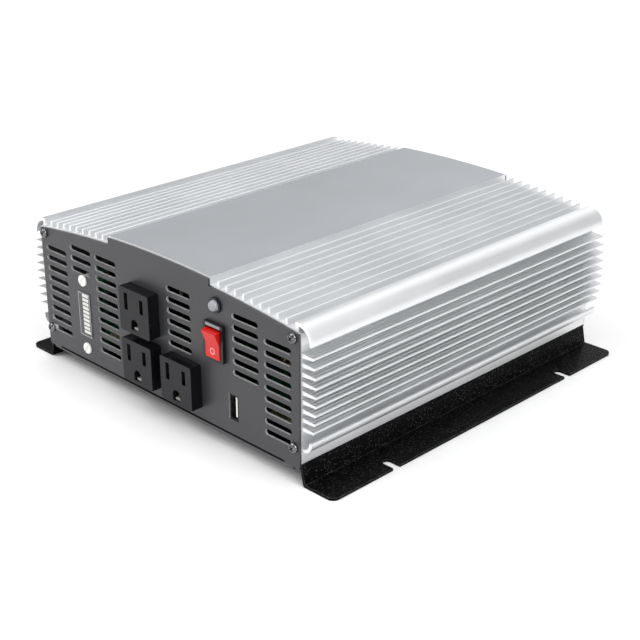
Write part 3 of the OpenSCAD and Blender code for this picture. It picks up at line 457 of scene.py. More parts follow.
class Paint(Enum):
    """Every finish on the object, each with the material slot that it stands for."""

    ALLOY = ("housing_alloy", DrawnMetal("satin_extrusion", (0.84, 0.85, 0.86), 0.47, 1.0, 0.5, 0.0012, 0.03))
    BAND = ("housing_alloy", DrawnMetal("blasted_band", (0.47, 0.485, 0.505), 0.6, 0.8, 0.4, 0.003, 0.02))
    # Near-black on the extrusion's inner walls and roof: painted shade inside the case.
    INSIDE = ("housing_alloy", DrawnMetal("dull_inside", (0.1, 0.1, 0.1), 0.6, 0.5, 0.5, 0.004, 0.1))
    SAWN = ("housing_alloy", DrawnMetal("sawn_end", (0.9, 0.9, 0.9), 0.5, 0.7, 0.3, 0.004, 0.04))
    # Deep grey on the heat spreaders: painted shade, as they sit in the dark inside the case.
    SPREADER = ("housing_alloy", DrawnMetal("milled_bar", (0.22, 0.22, 0.23), 0.45, 0.8, 0.5, 0.004, 0.08))
    # The last colour of each powder coat lightens its pebble tops: painted glints.
    BASE = ("base_coat", PowderCoat("black_powder_coat", (0.0015, 0.0015, 0.0018), 0.36, 0.0, 0.45, 0.2, 0.2,
                                    0.0, 0.05, 1.15, (0.09, 0.09, 0.092)))
    PANEL = ("panel_coat", PowderCoat("grey_panel_coat", (0.034, 0.034, 0.038), 0.4, 0.0, 0.3, 0.006, 0.1,
                                      0.0, 0.5, 0.7, (0.045, 0.045, 0.048)))
    # Lighter grey on the rounded edges of the base and the end panels: a painted highlight along the edges.
    EDGE = ("base_coat", PlatedMetal("rubbed_edge", (0.13, 0.13, 0.135), 0.3, 0.4, 0.6, 0.006, 0.15))
    # Light grey on the walls of the vents in the dark panels: a painted highlight round each slot.
    PUNCHED = ("panel_coat", PlatedMetal("punched_edge", (0.6, 0.6, 0.61), 0.36, 0.4, 0.5, 0.008, 0.08))
    SCREW = ("black_steel", PlatedMetal("blackened_steel", (0.17, 0.17, 0.175), 0.13, 1.0, 0.4, 0.006, 0.1))
    OUTLET = ("outlet_plastic", MouldedPlastic("outlet_gloss", (0.004, 0.004, 0.005), 0.22, 0.0, 0.8, 0.004,
                                               0.15, 0.0, 0.22))
    # Dark grey on the outlets' rounded rims, against their near-black body: a painted highlight along the
    # edges.
    OUTLET_RIM = ("outlet_plastic", MouldedPlastic("outlet_rim", (0.075, 0.075, 0.08), 0.2, 0.0, 0.8, 0.004,
                                                   0.1))
    OUTLET_FACE = ("outlet_plastic", PowderCoat("outlet_texture", (0.006, 0.006, 0.008), 0.42, 0.0, 0.35,
                                                0.04, 0.2, 0.0, 0.25, 0.8, (0.03, 0.03, 0.034)))
    BRASS = ("contact_brass", PlatedMetal("bright_brass", (0.95, 0.76, 0.42), 0.24, 1.0, 0.5, 0.006, 0.05))
    # Pale tinned contacts, brightened and partly diffuse: partly their own colour, partly a painted glint in
    # the outlets' holes.
    CONTACT = ("contact_brass", PlatedMetal("tinned_brass", (1.0, 0.96, 0.88), 0.3, 0.45, 0.5, 0.004, 0.03))
    LEAD = ("lead_sheath", MouldedPlastic("red_sheath", (0.32, 0.02, 0.02), 0.35, 0.0, 0.7, 0.01, 0.12))
    MAINS = ("lead_sheath", MouldedPlastic("black_sheath", (0.012, 0.012, 0.013), 0.35, 0.0, 0.7, 0.01, 0.15))
    BLACK = ("switch_black", MouldedPlastic("black_moulding", (0.006, 0.006, 0.007), 0.24, 0.0, 0.5, 0.006,
                                            0.15, 0.0, 0.35))
    # Pale grey strip on the switch bezel's top: a painted highlight on the ledge that faces up to the light.
    LAND = ("switch_black", DrawnMetal("satin_land", (0.3, 0.3, 0.31), 0.3, 0.5, 0.5, 0.002, 0.1))
    ROCKER = ("rocker_red", MouldedPlastic("red_rocker", (0.6, 0.006, 0.004), 0.22, 0.0, 1.4, 0.003, 0.1, 0.0,
                                            0.35))
    MARK = ("rocker_red", Finish("pale_mark", (0.86, 0.5, 0.48), 0.4, 0.0, 0.3, 0.003, 0.05))
    LENS = ("lamp_clear", ClearPlastic("clear_lens", (0.86, 0.89, 0.95), 0.05, 0.0, 1.5, 0.01, 0.02, 0.0, 0.5,
                                      0.7))
    WINDOW = ("window_smoke", ClearPlastic("smoke_window", (0.8, 0.8, 0.84), 0.06, 0.0, 1.2, 0.001, 0.04, 0.0,
                                            0.3))
    # Pale grey rim round the display window: a painted highlight along its edge.
    RIM = ("window_smoke", MouldedPlastic("pale_rim", (0.36, 0.36, 0.38), 0.3, 0.0, 0.6, 0.004, 0.08))
    # The display bars brighten with a painted glow.
    BAR = ("bar_cream", PaintedGlow("cream_bar", (0.93, 0.91, 0.8), 0.4, 0.0, 0.5, 0.004, 0.05, 0.0, 0.5, 0.75))
    BOARD = ("board_green", CircuitBoard("green_board", (0.012, 0.07, 0.03), 0.32, 0.0, 0.5, 0.03, 0.1))
    NYLON = ("nylon_white", MouldedPlastic("natural_nylon", (0.84, 0.85, 0.81), 0.34, 0.0, 0.7, 0.012, 0.04))
    TIN = ("tin_plate", PlatedMetal("bright_plating", (0.72, 0.73, 0.74), 0.24, 1.0, 0.35, 0.006, 0.05))
    # The USB shell near-black: painted shade in the port's opening.
    SHELL = ("tin_plate", PlatedMetal("shaded_plating", (0.06, 0.06, 0.062), 0.3, 0.9, 0.35, 0.005, 0.08))
    FILM = ("sheet_film", Finish("amber_film", (0.7, 0.6, 0.34), 0.3, 0.0, 2.0, 0.01, 0.1))
    FERRITE = ("ferrite_grey", Finish("sintered_ferrite", (0.055, 0.055, 0.06), 0.5, 0.2, 0.3, 0.02, 0.15))
    TAPE = ("coil_tape", WoundTape("yellow_tape", (0.78, 0.55, 0.05), 0.32, 0.0, 0.8, 0.03, 0.08))
    SLEEVE = ("sleeve_blue", MouldedPlastic("blue_sleeve", (0.02, 0.04, 0.18), 0.22, 0.0, 1.2, 0.008, 0.12))
    FUSE = ("fuse_orange", MouldedPlastic("orange_fuse", (0.85, 0.26, 0.03), 0.28, 0.0, 0.6, 0.006, 0.08))
    COPPER = ("bar_copper", DrawnMetal("bare_copper", (0.78, 0.42, 0.24), 0.3, 1.0, 0.4, 0.006, 0.1))
    FAN = ("fan_plastic", MouldedPlastic("glass_filled_plastic", (0.02, 0.02, 0.021), 0.42, 0.0, 0.5, 0.012,
                                         0.2))
    WIRE = ("guard_wire", PlatedMetal("plated_wire", (0.78, 0.79, 0.8), 0.18, 1.0, 0.8, 0.006, 0.04))
    RED = ("terminal_red", MouldedPlastic("red_insulator", (0.5, 0.014, 0.014), 0.3, 0.0, 0.6, 0.01, 0.1))
    DARK = ("terminal_black", MouldedPlastic("dark_insulator", (0.016, 0.016, 0.018), 0.3, 0.0, 0.6, 0.01,
                                             0.15))

    @property
    def slot(self) -> str:
        """The record's material slot."""
        return self.value[0]

    @property
    def material(self) -> bpy.types.Material:
        """The finish's material."""
        return self.value[1].material()


# ---- geometry node trees ----------------------------------------------------------------------


class Geometry(NodeTree):
    """A geometry node tree with named inputs, run once to give a plain mesh."""

    def __init__(self, name: str) -> None:
        """Makes the tree with its geometry in and out."""
        super().__init__(bpy.data.node_groups.new(name, "GeometryNodeTree"))
        self.keys: dict[str, str] = {}
        self._declare("Geometry", "NodeSocketGeometry", "INPUT")
        self._declare("Geometry", "NodeSocketGeometry", "OUTPUT")
        self.entry = self.group.nodes.new("NodeGroupInput")
        self.exit = self.group.nodes.new("NodeGroupOutput")
        self.finish = self.takes("Finish", "NodeSocketMaterial")

    def _declare(self, name: str, kind: str, side: str) -> bpy.types.NodeTreeInterfaceSocket:
        """Adds a socket to the tree's interface."""
        return self.group.interface.new_socket(name=name, in_out=side, socket_type=kind)

    def takes(self, name: str, kind: str = "NodeSocketFloat") -> Wire:
        """Declares a named input.

        Args:
            name: The input's name.
            kind: Its socket type.

        Returns:
            The input's value inside the tree.
        """
        self.keys[name] = self._declare(name, kind, "INPUT").identifier
        return Wire(self, find_socket(self.entry.outputs, name))

    def points(self) -> Wire:
        """The points of the object that the tree runs on."""
        return self.node("GeometryNodeMeshToPoints", {}, {"Mesh": Wire(self, self.entry.outputs[0])})

    def position(self, name: str) -> Wire:
        """One coordinate of each point."""
        here = self.node("GeometryNodeInputPosition")
        return self.node("ShaderNodeSeparateXYZ", {}, {"Vector": here}, name)

    def joined(self, *parts: Wire) -> Wire:
        """Several geometries as one."""
        made = self.group.nodes.new("GeometryNodeJoinGeometry")
        for part in reversed(parts):
            self.group.links.new(part.socket, made.inputs[0])
        return Wire(self, made.outputs[0])

    def swept(self, curve: Wire, radius: "Wire | float", sides: int = 10) -> Wire:
        """A round wire along a curve."""
        ring = self.node(
            "GeometryNodeCurvePrimitiveCircle", {"mode": "RADIUS"}, {"Resolution": sides, "Radius": radius}
        )
        sockets = {"Curve": curve, "Profile Curve": ring, "Fill Caps": True}
        return self.node("GeometryNodeCurveToMesh", {}, sockets)

    def around(self, part: Wire, count: "Wire | float", start: float = 0.0) -> Wire:
        """Copies of a part turned about Z, evenly spread, starting at an angle."""
        line = self.node("GeometryNodeMeshLine", {}, {"Count": count, "Offset": (0.0, 0.0, 0.0)})
        index = self.node("GeometryNodeInputIndex")
        angle = index * TURN / count + start
        turn = self.node("ShaderNodeCombineXYZ", {}, {"Z": angle})
        sockets = {"Points": line, "Instance": part, "Rotation": turn}
        copies = self.node("GeometryNodeInstanceOnPoints", {}, sockets)
        return self.node("GeometryNodeRealizeInstances", {}, {"Geometry": copies})

    def gives(self, geometry: Wire, smooth: bool = True) -> "Geometry":
        """Ends the tree in Realize Instances and Set Material."""
        whole = self.node("GeometryNodeRealizeInstances", {}, {"Geometry": geometry})
        shaded = self.node("GeometryNodeSetShadeSmooth", {}, {"Geometry": whole, "Shade Smooth": smooth})
        dressed = self.node("GeometryNodeSetMaterial", {}, {"Geometry": shaded, "Material": self.finish})
        self.group.links.new(dressed.socket, self.exit.inputs[0])
        return self

    def run(self, name: str, paint: Paint, mesh: bpy.types.Mesh | None = None, **values) -> bpy.types.Object:
        """Runs the tree and keeps its result as a plain mesh.

        Args:
            name: The new object's name.
            paint: Its finish.
            mesh: What the tree starts from, if anything.
            **values: The named inputs, with underscores for spaces.

        Returns:
            An object at the origin with no modifier.
        """
        start = mesh or bpy.data.meshes.new(name + "_start")
        holder = link(name + "_holder", start)
        modifier = holder.modifiers.new(name, "NODES")
        modifier.node_group = self.group
        modifier[self.keys["Finish"]] = paint.material
        for key, value in values.items():
            modifier[self.keys[key.replace("_", " ")]] = value
        return link(name, evaluated(holder, name))


def placing_tree() -> Geometry:
    """Copies of a template on points, each facing its point's "facing" and turned by its "spin"."""
    tree = Geometry("placing")
    template = tree.takes("Template", "NodeSocketObject")
    size = tree.takes("Size")
    wobble = tree.takes("Wobble")
    seed = tree.takes("Seed", "NodeSocketInt")
    points = tree.points()
    facing = tree.node(
        "GeometryNodeInputNamedAttribute", {"data_type": "FLOAT_VECTOR"}, {"Name": "facing"}, "Attribute"
    )
    spin = tree.node("GeometryNodeInputNamedAttribute", {"data_type": "FLOAT"}, {"Name": "spin"}, "Attribute")
    aimed = tree.node("FunctionNodeAlignRotationToVector", {"axis": "Z"}, {"Vector": facing})
    chance = tree.node(
        "FunctionNodeRandomValue", {"data_type": "FLOAT"}, {"Min_001": -1.0, "Max_001": 1.0, "Seed": seed},
        "Value_001",
    )
    angle = spin + chance * wobble
    turn = tree.node("FunctionNodeAxisAngleToRotation", {}, {"Axis": (0.0, 0.0, 1.0), "Angle": angle})
    turned = tree.node(
        "FunctionNodeRotateRotation", {"rotation_space": "LOCAL"}, {"Rotation": aimed, "Rotate By": turn}
    )
    shape = tree.node(
        "GeometryNodeObjectInfo", {"transform_space": "ORIGINAL"}, {"Object": template, "As Instance": False},
        "Geometry",
    )
    copies = tree.node(
        "GeometryNodeInstanceOnPoints", {},
        {"Points": points, "Instance": shape, "Rotation": turned, "Scale": size},
    )
    whole = tree.node("GeometryNodeRealizeInstances", {}, {"Geometry": copies})
    dressed = tree.node("GeometryNodeSetMaterial", {}, {"Geometry": whole, "Material": tree.finish})
    tree.group.links.new(dressed.socket, tree.exit.inputs[0])
    return tree


def blade_tree() -> Geometry:
    """A ring of twisted fan blades about Z."""
    tree = Geometry("fan_blades")
    inner, outer = tree.takes("Inner radius"), tree.takes("Outer radius")
    chord, pitch, twist = tree.takes("Chord"), tree.takes("Pitch"), tree.takes("Twist")
    thickness, count = tree.takes("Thickness"), tree.takes("Blades", "NodeSocketInt")
    span = outer - inner
    grid = tree.node(
        "GeometryNodeMeshGrid", {},
        {"Size X": span, "Size Y": chord, "Vertices X": 12, "Vertices Y": 9}, "Mesh",
    )
    out = tree.position("X") / span + 0.5
    across = tree.position("Y") * (0.72 + out * 0.28)
    lean = pitch - out * twist
    bow = (1 - across * across * 4 / (chord * chord)) * chord * 0.1
    height = across * lean.sin() + bow
    sweep = across * lean.cos() - out * out * chord * 0.18
    reach = inner + out * span
    angle = sweep / reach
    place = tree.node(
        "ShaderNodeCombineXYZ", {}, {"X": angle.cos() * reach, "Y": angle.sin() * reach, "Z": height}
    )
    sheet = tree.node("GeometryNodeSetPosition", {}, {"Geometry": grid, "Position": place})
    raised = tree.node("GeometryNodeExtrudeMesh", {"mode": "FACES"},
                       {"Mesh": sheet, "Offset Scale": thickness, "Individual": False}, "Mesh")
    under = tree.node("GeometryNodeFlipFaces", {}, {"Mesh": sheet})
    solid = tree.node(
        "GeometryNodeMergeByDistance", {}, {"Geometry": tree.joined(raised, under), "Distance": 1e-6}
    )
    return tree.gives(tree.around(solid, count))


def guard_tree() -> Geometry:
    """Wire rings carried by spokes, each spoke ending in an eye, about Z."""
    tree = Geometry("wire_guard")
    wire, first = tree.takes("Wire radius"), tree.takes("First ring")
    spacing, rings = tree.takes("Spacing"), tree.takes("Rings", "NodeSocketInt")
    lift, start, end = tree.takes("Ring lift"), tree.takes("Spoke start"), tree.takes("Spoke end")
    eye, eye_at, eye_lift = tree.takes("Eye radius"), tree.takes("Eye distance"), tree.takes("Eye lift")
    circle = {"mode": "RADIUS"}
    unit = tree.node("GeometryNodeCurvePrimitiveCircle", circle, {"Resolution": 64, "Radius": 1.0})
    line = tree.node("GeometryNodeMeshLine", {}, {"Count": rings, "Offset": (0.0, 0.0, 0.0)})
    grow = first + tree.node("GeometryNodeInputIndex") * spacing
    copies = tree.node("GeometryNodeInstanceOnPoints", {}, {"Points": line, "Instance": unit, "Scale": grow})
    hoops = tree.node("GeometryNodeRealizeInstances", {}, {"Geometry": copies})
    up = tree.node("ShaderNodeCombineXYZ", {}, {"Z": lift})
    hoops = tree.node("GeometryNodeSetPosition", {}, {"Geometry": hoops, "Offset": up})
    a = tree.node("ShaderNodeCombineXYZ", {}, {"X": start})
    b = tree.node("ShaderNodeCombineXYZ", {}, {"X": end})
    spoke = tree.node("GeometryNodeCurvePrimitiveLine", {"mode": "POINTS"}, {"Start": a, "End": b})
    loop = tree.node("GeometryNodeCurvePrimitiveCircle", circle, {"Resolution": 28, "Radius": eye})
    at = tree.node("ShaderNodeCombineXYZ", {}, {"X": eye_at, "Z": eye_lift})
    loop = tree.node("GeometryNodeSetPosition", {}, {"Geometry": loop, "Offset": at})
    arms = tree.around(tree.joined(spoke, loop), 4, TURN / 8)
    return tree.gives(tree.swept(tree.joined(hoops, arms), wire))


def thread_tree() -> Geometry:
    """A screw thread about Z, rising from the origin."""
    tree = Geometry("thread")
    radius, pitch, length = tree.takes("Radius"), tree.takes("Pitch"), tree.takes("Length")
    crest = pitch * 0.42
    turns = length / pitch
    spiral = tree.node(
        "GeometryNodeCurveSpiral", {},
        {"Resolution": 28, "Rotations": turns, "Start Radius": radius - crest, "End Radius": radius - crest,
         "Height": length - crest * 2},
    )
    up = tree.node("ShaderNodeCombineXYZ", {}, {"Z": crest})
    spiral = tree.node("GeometryNodeSetPosition", {}, {"Geometry": spiral, "Offset": up})
    return tree.gives(tree.swept(spiral, crest, 4), smooth=False)


def winding_tree() -> Geometry:
    """Turns of wire round a ring that lies about Z."""
    tree = Geometry("winding")
    ring, loop = tree.takes("Ring radius"), tree.takes("Loop radius")
    wire, turns = tree.takes("Wire radius"), tree.takes("Turns", "NodeSocketInt")
    circle = tree.node(
        "GeometryNodeCurvePrimitiveCircle", {"mode": "RADIUS"}, {"Resolution": 24, "Radius": loop}
    )
    move = tree.node("ShaderNodeCombineXYZ", {}, {"X": ring})
    stood = tree.node(
        "GeometryNodeTransform", {},
        {"Geometry": circle, "Translation": move, "Rotation": (math.pi / 2, 0.0, 0.0)},
    )
    return tree.gives(tree.swept(tree.around(stood, turns), wire, 8))


def chip_tree() -> Geometry:
    """Small surface-mounted parts scattered over a board's face."""
    tree = Geometry("small_parts")
    density, seed = tree.takes("Density"), tree.takes("Seed", "NodeSocketInt")
    length = tree.takes("Part length")
    base = Wire(tree, tree.entry.outputs[0])
    spots = tree.node(
        "GeometryNodeDistributePointsOnFaces", {"distribute_method": "RANDOM"},
        {"Mesh": base, "Density": density, "Seed": seed}, "Points",
    )
    size = tree.node("ShaderNodeCombineXYZ", {}, {"X": length, "Y": length * 0.55, "Z": length * 0.4})
    chip = tree.node("GeometryNodeMeshCube", {}, {"Size": size}, "Mesh")
    seat = tree.node("ShaderNodeCombineXYZ", {}, {"Z": length * 0.2})
    chip = tree.node("GeometryNodeSetPosition", {}, {"Geometry": chip, "Offset": seat})
    pick = tree.node(
        "FunctionNodeRandomValue", {"data_type": "INT"}, {"Min_002": 0, "Max_002": 1, "Seed": seed},
        "Value_002",
    )
    turn = tree.node("ShaderNodeCombineXYZ", {}, {"Z": pick * (TURN / 4)})
    grow = tree.node(
        "FunctionNodeRandomValue", {"data_type": "FLOAT"}, {"Min_001": 0.6, "Max_001": 1.5, "Seed": seed},
        "Value_001",
    )
    sockets = {"Points": spots, "Instance": chip, "Rotation": turn, "Scale": grow}
    return tree.gives(tree.node("GeometryNodeInstanceOnPoints", {}, sockets), smooth=False)


# ---- meshes -----------------------------------------------------------------------------------


def link(name: str, mesh: bpy.types.Mesh) -> bpy.types.Object:
    """Puts a mesh in the scene at the origin."""
    made = bpy.data.objects.new(name, mesh)
    bpy.context.scene.collection.objects.link(made)
    return made


def middle(node: str) -> Vector:
    """The middle of a CAD node's box."""
    low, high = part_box(node)
    return (low + high) / 2


def size(node: str) -> Vector:
    """The size of a CAD node's box."""
    low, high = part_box(node)
    return high - low


def solids(node: str) -> list[tuple[Vector, Vector]]:
    """The boxes of a CAD node's separate solids, from the lowest corner's X, Z and Y on."""
    shape = bmesh.new()
    shape.from_mesh(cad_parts[node].data)
    bmesh.ops.remove_doubles(shape, verts=shape.verts, dist=SAME_POINT)
    left, boxes = set(shape.verts), []
    while left:
        stack, island = [left.pop()], []
        while stack:
            vertex = stack.pop()
            island.append(vertex.co.copy())
            for edge in vertex.link_edges:
                other = edge.other_vert(vertex)
                if other in left:
                    left.remove(other)
                    stack.append(other)
        low = Vector(min(p[i] for p in island) for i in range(3))
        high = Vector(max(p[i] for p in island) for i in range(3))
        boxes.append((low, high))
    shape.free()
    return sorted(boxes, key=lambda b: tuple(round(b[0][i], 5) for i in (0, 2, 1)))


def softened(
    node: str,
    paint: Paint,
    width: float = 0.2,
    rule: Callable[[Vector, Vector], float] | None = None,
    segments: int = 2,
    split: bool = True,
    highlight_paint: Paint | None = None,
) -> bpy.types.Object:
    """A copy of a CAD node with its sharp edges rounded.

    Args:
        node: The CAD node.
        paint: Its finish.
        width: The rounding's width in millimetres.
        rule: Gives the share of the width for an edge from its middle and its direction.
        segments: Facets across the rounding.
        split: Whether large flat faces are cut into triangles before the rounding.
        highlight_paint: Another finish for the rounding itself, a painted highlight along the rounded edges.

    Returns:
        The new object, a plain mesh.
    """
    shape = bmesh.new()
    shape.from_mesh(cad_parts[node].data)
    bmesh.ops.remove_doubles(shape, verts=shape.verts, dist=SAME_POINT)
    bmesh.ops.dissolve_limit(shape, angle_limit=math.radians(0.6), verts=shape.verts, edges=shape.edges)
    if split:
        wide = [f for f in shape.faces if len(f.verts) > 4]
        bmesh.ops.triangulate(shape, faces=wide, quad_method="BEAUTY", ngon_method="BEAUTY")
    weight = shape.edges.layers.float.new("bevel_weight_edge")
    for edge in shape.edges:
        if edge.is_manifold and edge.calc_face_angle(0.0) > math.radians(SHARP_DEGREES):
            a, b = (v.co for v in edge.verts)
            edge[weight] = rule((a + b) / 2, (b - a).normalized()) if rule else 1.0
    for face in shape.faces:
        face.smooth = True
    mesh = bpy.data.meshes.new(node + "_sharp")
    shape.to_mesh(mesh)
    shape.free()
    mesh.materials.clear()
    for finish in (paint, highlight_paint or paint):
        mesh.materials.append(finish.material)
    holder = link(node + "_sharp", mesh)
    bevel = holder.modifiers.new("rounding", "BEVEL")
    bevel.width = width * MM
    bevel.segments = segments
    bevel.limit_method = "WEIGHT"
    bevel.use_clamp_overlap = True
    bevel.material = 1
    flat = holder.modifiers.new("flat_faces", "WEIGHTED_NORMAL")
    flat.keep_sharp = True
    return link(node + "_soft", evaluated(holder, node + "_soft"))


def evaluated(holder: bpy.types.Object, name: str) -> bpy.types.Mesh:
    """The mesh that an object's modifiers give; the object goes away."""
    bpy.context.view_layer.update()
    graph = bpy.context.evaluated_depsgraph_get()
    made = bpy.data.meshes.new_from_object(holder.evaluated_get(graph))
    holder.modifiers.clear()
    bpy.data.objects.remove(holder)
    made.name = name
    return made


def reface(
    piece: bpy.types.Object, paint: Paint, test: Callable[[bpy.types.MeshPolygon], bool]
) -> None:
    """Gives the faces that pass a test another finish."""
    piece.data.materials.append(paint.material)
    index = len(piece.data.materials) - 1
    for face in piece.data.polygons:
        if test(face):
            face.material_index = index


def revolved(profile: Points, name: str, sides: int = 40, scale: float = 1.0) -> bpy.types.Mesh:
    """A closed solid of revolution about Z.

    Args:
        profile: Radius and height pairs, whose first and last radius are 0.
        name: The mesh's name.
        sides: Facets round it.
        scale: What one unit of the profile is.

    Returns:
        The mesh, smooth but for its corners.
    """
    shape = bmesh.new()
    rings = []
    for radius, height in profile:
        steps = 1 if radius == 0 else sides
        rings.append([
            shape.verts.new(Vector((radius * math.cos(k * TURN / sides), radius * math.sin(k * TURN / sides),
                                    height)) * scale)
            for k in range(steps)
        ])
    for below, above in zip(rings, rings[1:]):
        for k in range(sides):
            corners = [below[k % len(below)], below[(k + 1) % len(below)],
                       above[(k + 1) % len(above)], above[k % len(above)]]
            shape.faces.new(list(dict.fromkeys(corners)))
    bmesh.ops.recalc_face_normals(shape, faces=shape.faces)
    return smooth_mesh(shape, name)


def smooth_mesh(shape: bmesh.types.BMesh, name: str, angle: float = SHARP_DEGREES) -> bpy.types.Mesh:
    """Turns a bmesh into a mesh that is smooth up to an angle in degrees."""
    for face in shape.faces:
        face.smooth = True
    mesh = bpy.data.meshes.new(name)
    shape.to_mesh(mesh)
    shape.free()
    mesh.set_sharp_from_angle(angle=math.radians(angle))
    return mesh


def prism(outline: Points, low: float, high: float, name: str, taper: float = 1.0) -> bpy.types.Mesh:
    """An outline made solid along Z, its low end scaled by the taper."""
    shape = bmesh.new()
    bottom = [shape.verts.new((x * taper, y * taper, low)) for x, y in outline]
    top = [shape.verts.new((x, y, high)) for x, y in outline]
    shape.faces.new(bottom[::-1])
    shape.faces.new(top)
    for k in range(len(outline)):
        n = (k + 1) % len(outline)
        shape.faces.new((bottom[k], bottom[n], top[n], top[k]))
    bmesh.ops.recalc_face_normals(shape, faces=shape.faces)
    return smooth_mesh(shape, name)


def cut(body: bpy.types.Mesh, tool: bpy.types.Mesh) -> bpy.types.Mesh:
    """A mesh with another cut out of it."""
    a, b = link("cut_body", body), link("cut_tool", tool)
    boolean = a.modifiers.new("cut", "BOOLEAN")
    boolean.object = b
    boolean.solver = "EXACT"
    made = evaluated(a, body.name + "_cut")
    bpy.data.objects.remove(b)
    made.set_sharp_from_angle(angle=math.radians(SHARP_DEGREES))
    return made


def cross(arm: float, width: float) -> Points:
    """The outline of a cross-shaped recess."""
    w = width / 2
    quarter = [(w, w), (w, arm), (-w, arm), (-w, w)]
    return [(x, y) for a in range(4) for x, y in [turned(p, a * TURN / 4) for p in quarter[:3]]]


def turned(point: tuple[float, float], angle: float) -> tuple[float, float]:
    """A flat point turned about the origin."""
    x, y = point
    return x * math.cos(angle) - y * math.sin(angle), x * math.sin(angle) + y * math.cos(angle)


def pan_head(radius: float, height: float, recess: Points, depth: float) -> bpy.types.Mesh:
    """A domed screw head on the XY plane, in millimetres, with a recess cut into it."""
    dome = [(0.0, 0.0), (radius * 0.96, 0.0), (radius, height * 0.12)]
    for k in range(1, 10):
        a = k / 10 * math.pi / 2
        dome.append((radius * (0.42 + 0.58 * math.cos(a)), height * (0.25 + 0.75 * math.sin(a))))
    dome += [(radius * 0.3, height), (0.0, height)]
    body = revolved(dome, "pan_head")
    tool = prism(recess, height - depth, height + 1, "recess", 0.55)
    return cut(body, tool)


def spots(
    places: Iterable[tuple[Vector, Vector, float]], name: str
) -> bpy.types.Mesh:
    """Points that carry what the placing tree reads.

    Args:
        places: The place, the outward direction and the turn of each copy.
        name: The mesh's name.

    Returns:
        A mesh of loose vertices.
    """
    listed = list(places)
    mesh = bpy.data.meshes.new(name)
    mesh.from_pydata([tuple(p) for p, _, _ in listed], [], [])
    mesh.attributes.new("facing", "FLOAT_VECTOR", "POINT")
    mesh.attributes.new("spin", "FLOAT", "POINT")
    facing, spin = mesh.attributes["facing"], mesh.attributes["spin"]
    for k, (_, way, angle) in enumerate(listed):
        facing.data[k].vector = way
        spin.data[k].value = angle
    return mesh


# ---- sub-assemblies ---------------------------------------------------------------------------

FRONT, BACK = Vector((0, -1, 0)), Vector((0, 1, 0))
UP, DOWN = Vector((0, 0, 1)), Vector((0, 0, -1))


@dataclass
class Assembly:
    """What every sub-assembly can do: finish a piece, dress a CAD node, place copies."""

    placing: Geometry

    def keep(
        self, piece: bpy.types.Object, paint: Paint, nodes: Sequence[str] = (), body: str = CASE
    ) -> bpy.types.Object:
        """Makes a piece part of the object.

        Args:
            piece: The new piece, in place.
            paint: The finish that it gets if it has no material yet.
            nodes: The CAD nodes that it stands for.
            body: The CAD body that it rides on.

        Returns:
            The piece.
        """
        if not piece.data.materials:
            piece.data.materials.append(paint.material)
        if nodes:
            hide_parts(*nodes)
        paint.slot
        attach(piece, body)
        LOG.info("%s: %d faces on %s", piece.name, len(piece.data.polygons), body)
        return piece

    def dress(self, paint: Paint, *nodes: str) -> None:
        """Gives CAD nodes that keep their own shape a finish."""
        for node in nodes:
            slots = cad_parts[node].data.materials
            slots.clear()
            slots.append(paint.material)
            LOG.info("%s: keeps its CAD shape", node)

    def soften(
        self,
        paint: Paint,
        width: float,
        *nodes: str,
        rule: Callable[[Vector, Vector], float] | None = None,
        segments: int = 2,
        split: bool = True,
        highlight_paint: Paint | None = None,
        body: str = CASE,
    ) -> list[bpy.types.Object]:
        """Replaces CAD nodes by copies with rounded edges."""
        made = []
        for node in nodes:
            piece = softened(node, paint, width, rule, segments, split, highlight_paint)
            made.append(self.keep(piece, paint, [node], body))
        return made

    def place(
        self,
        name: str,
        paint: Paint,
        template: bpy.types.Mesh,
        places: Iterable[tuple[Vector, Vector, float]],
        nodes: Sequence[str] = (),
        wobble: float = 0.0,
        seed: int = 1,
        body: str = CASE,
    ) -> bpy.types.Object:
        """Puts copies of a template, drawn in millimetres, at several places.

        Args:
            name: The new piece's name.
            paint: Its finish.
            template: The mesh that repeats, with its outward side along +Z.
            places: The place, outward direction and turn of each copy.
            nodes: The CAD nodes that the copies stand for.
            wobble: Largest random turn either way, in radians.
            seed: Seed of that turn.
            body: The CAD body that the copies ride on.

        Returns:
            The piece.
        """
        holder = link(name + "_template", template)
        points = spots(places, name + "_spots")
        piece = self.placing.run(
            name, paint, points, Template=holder, Size=MM, Wobble=wobble, Seed=seed
        )
        bpy.data.objects.remove(holder)
        return self.keep(piece, paint, nodes, body)


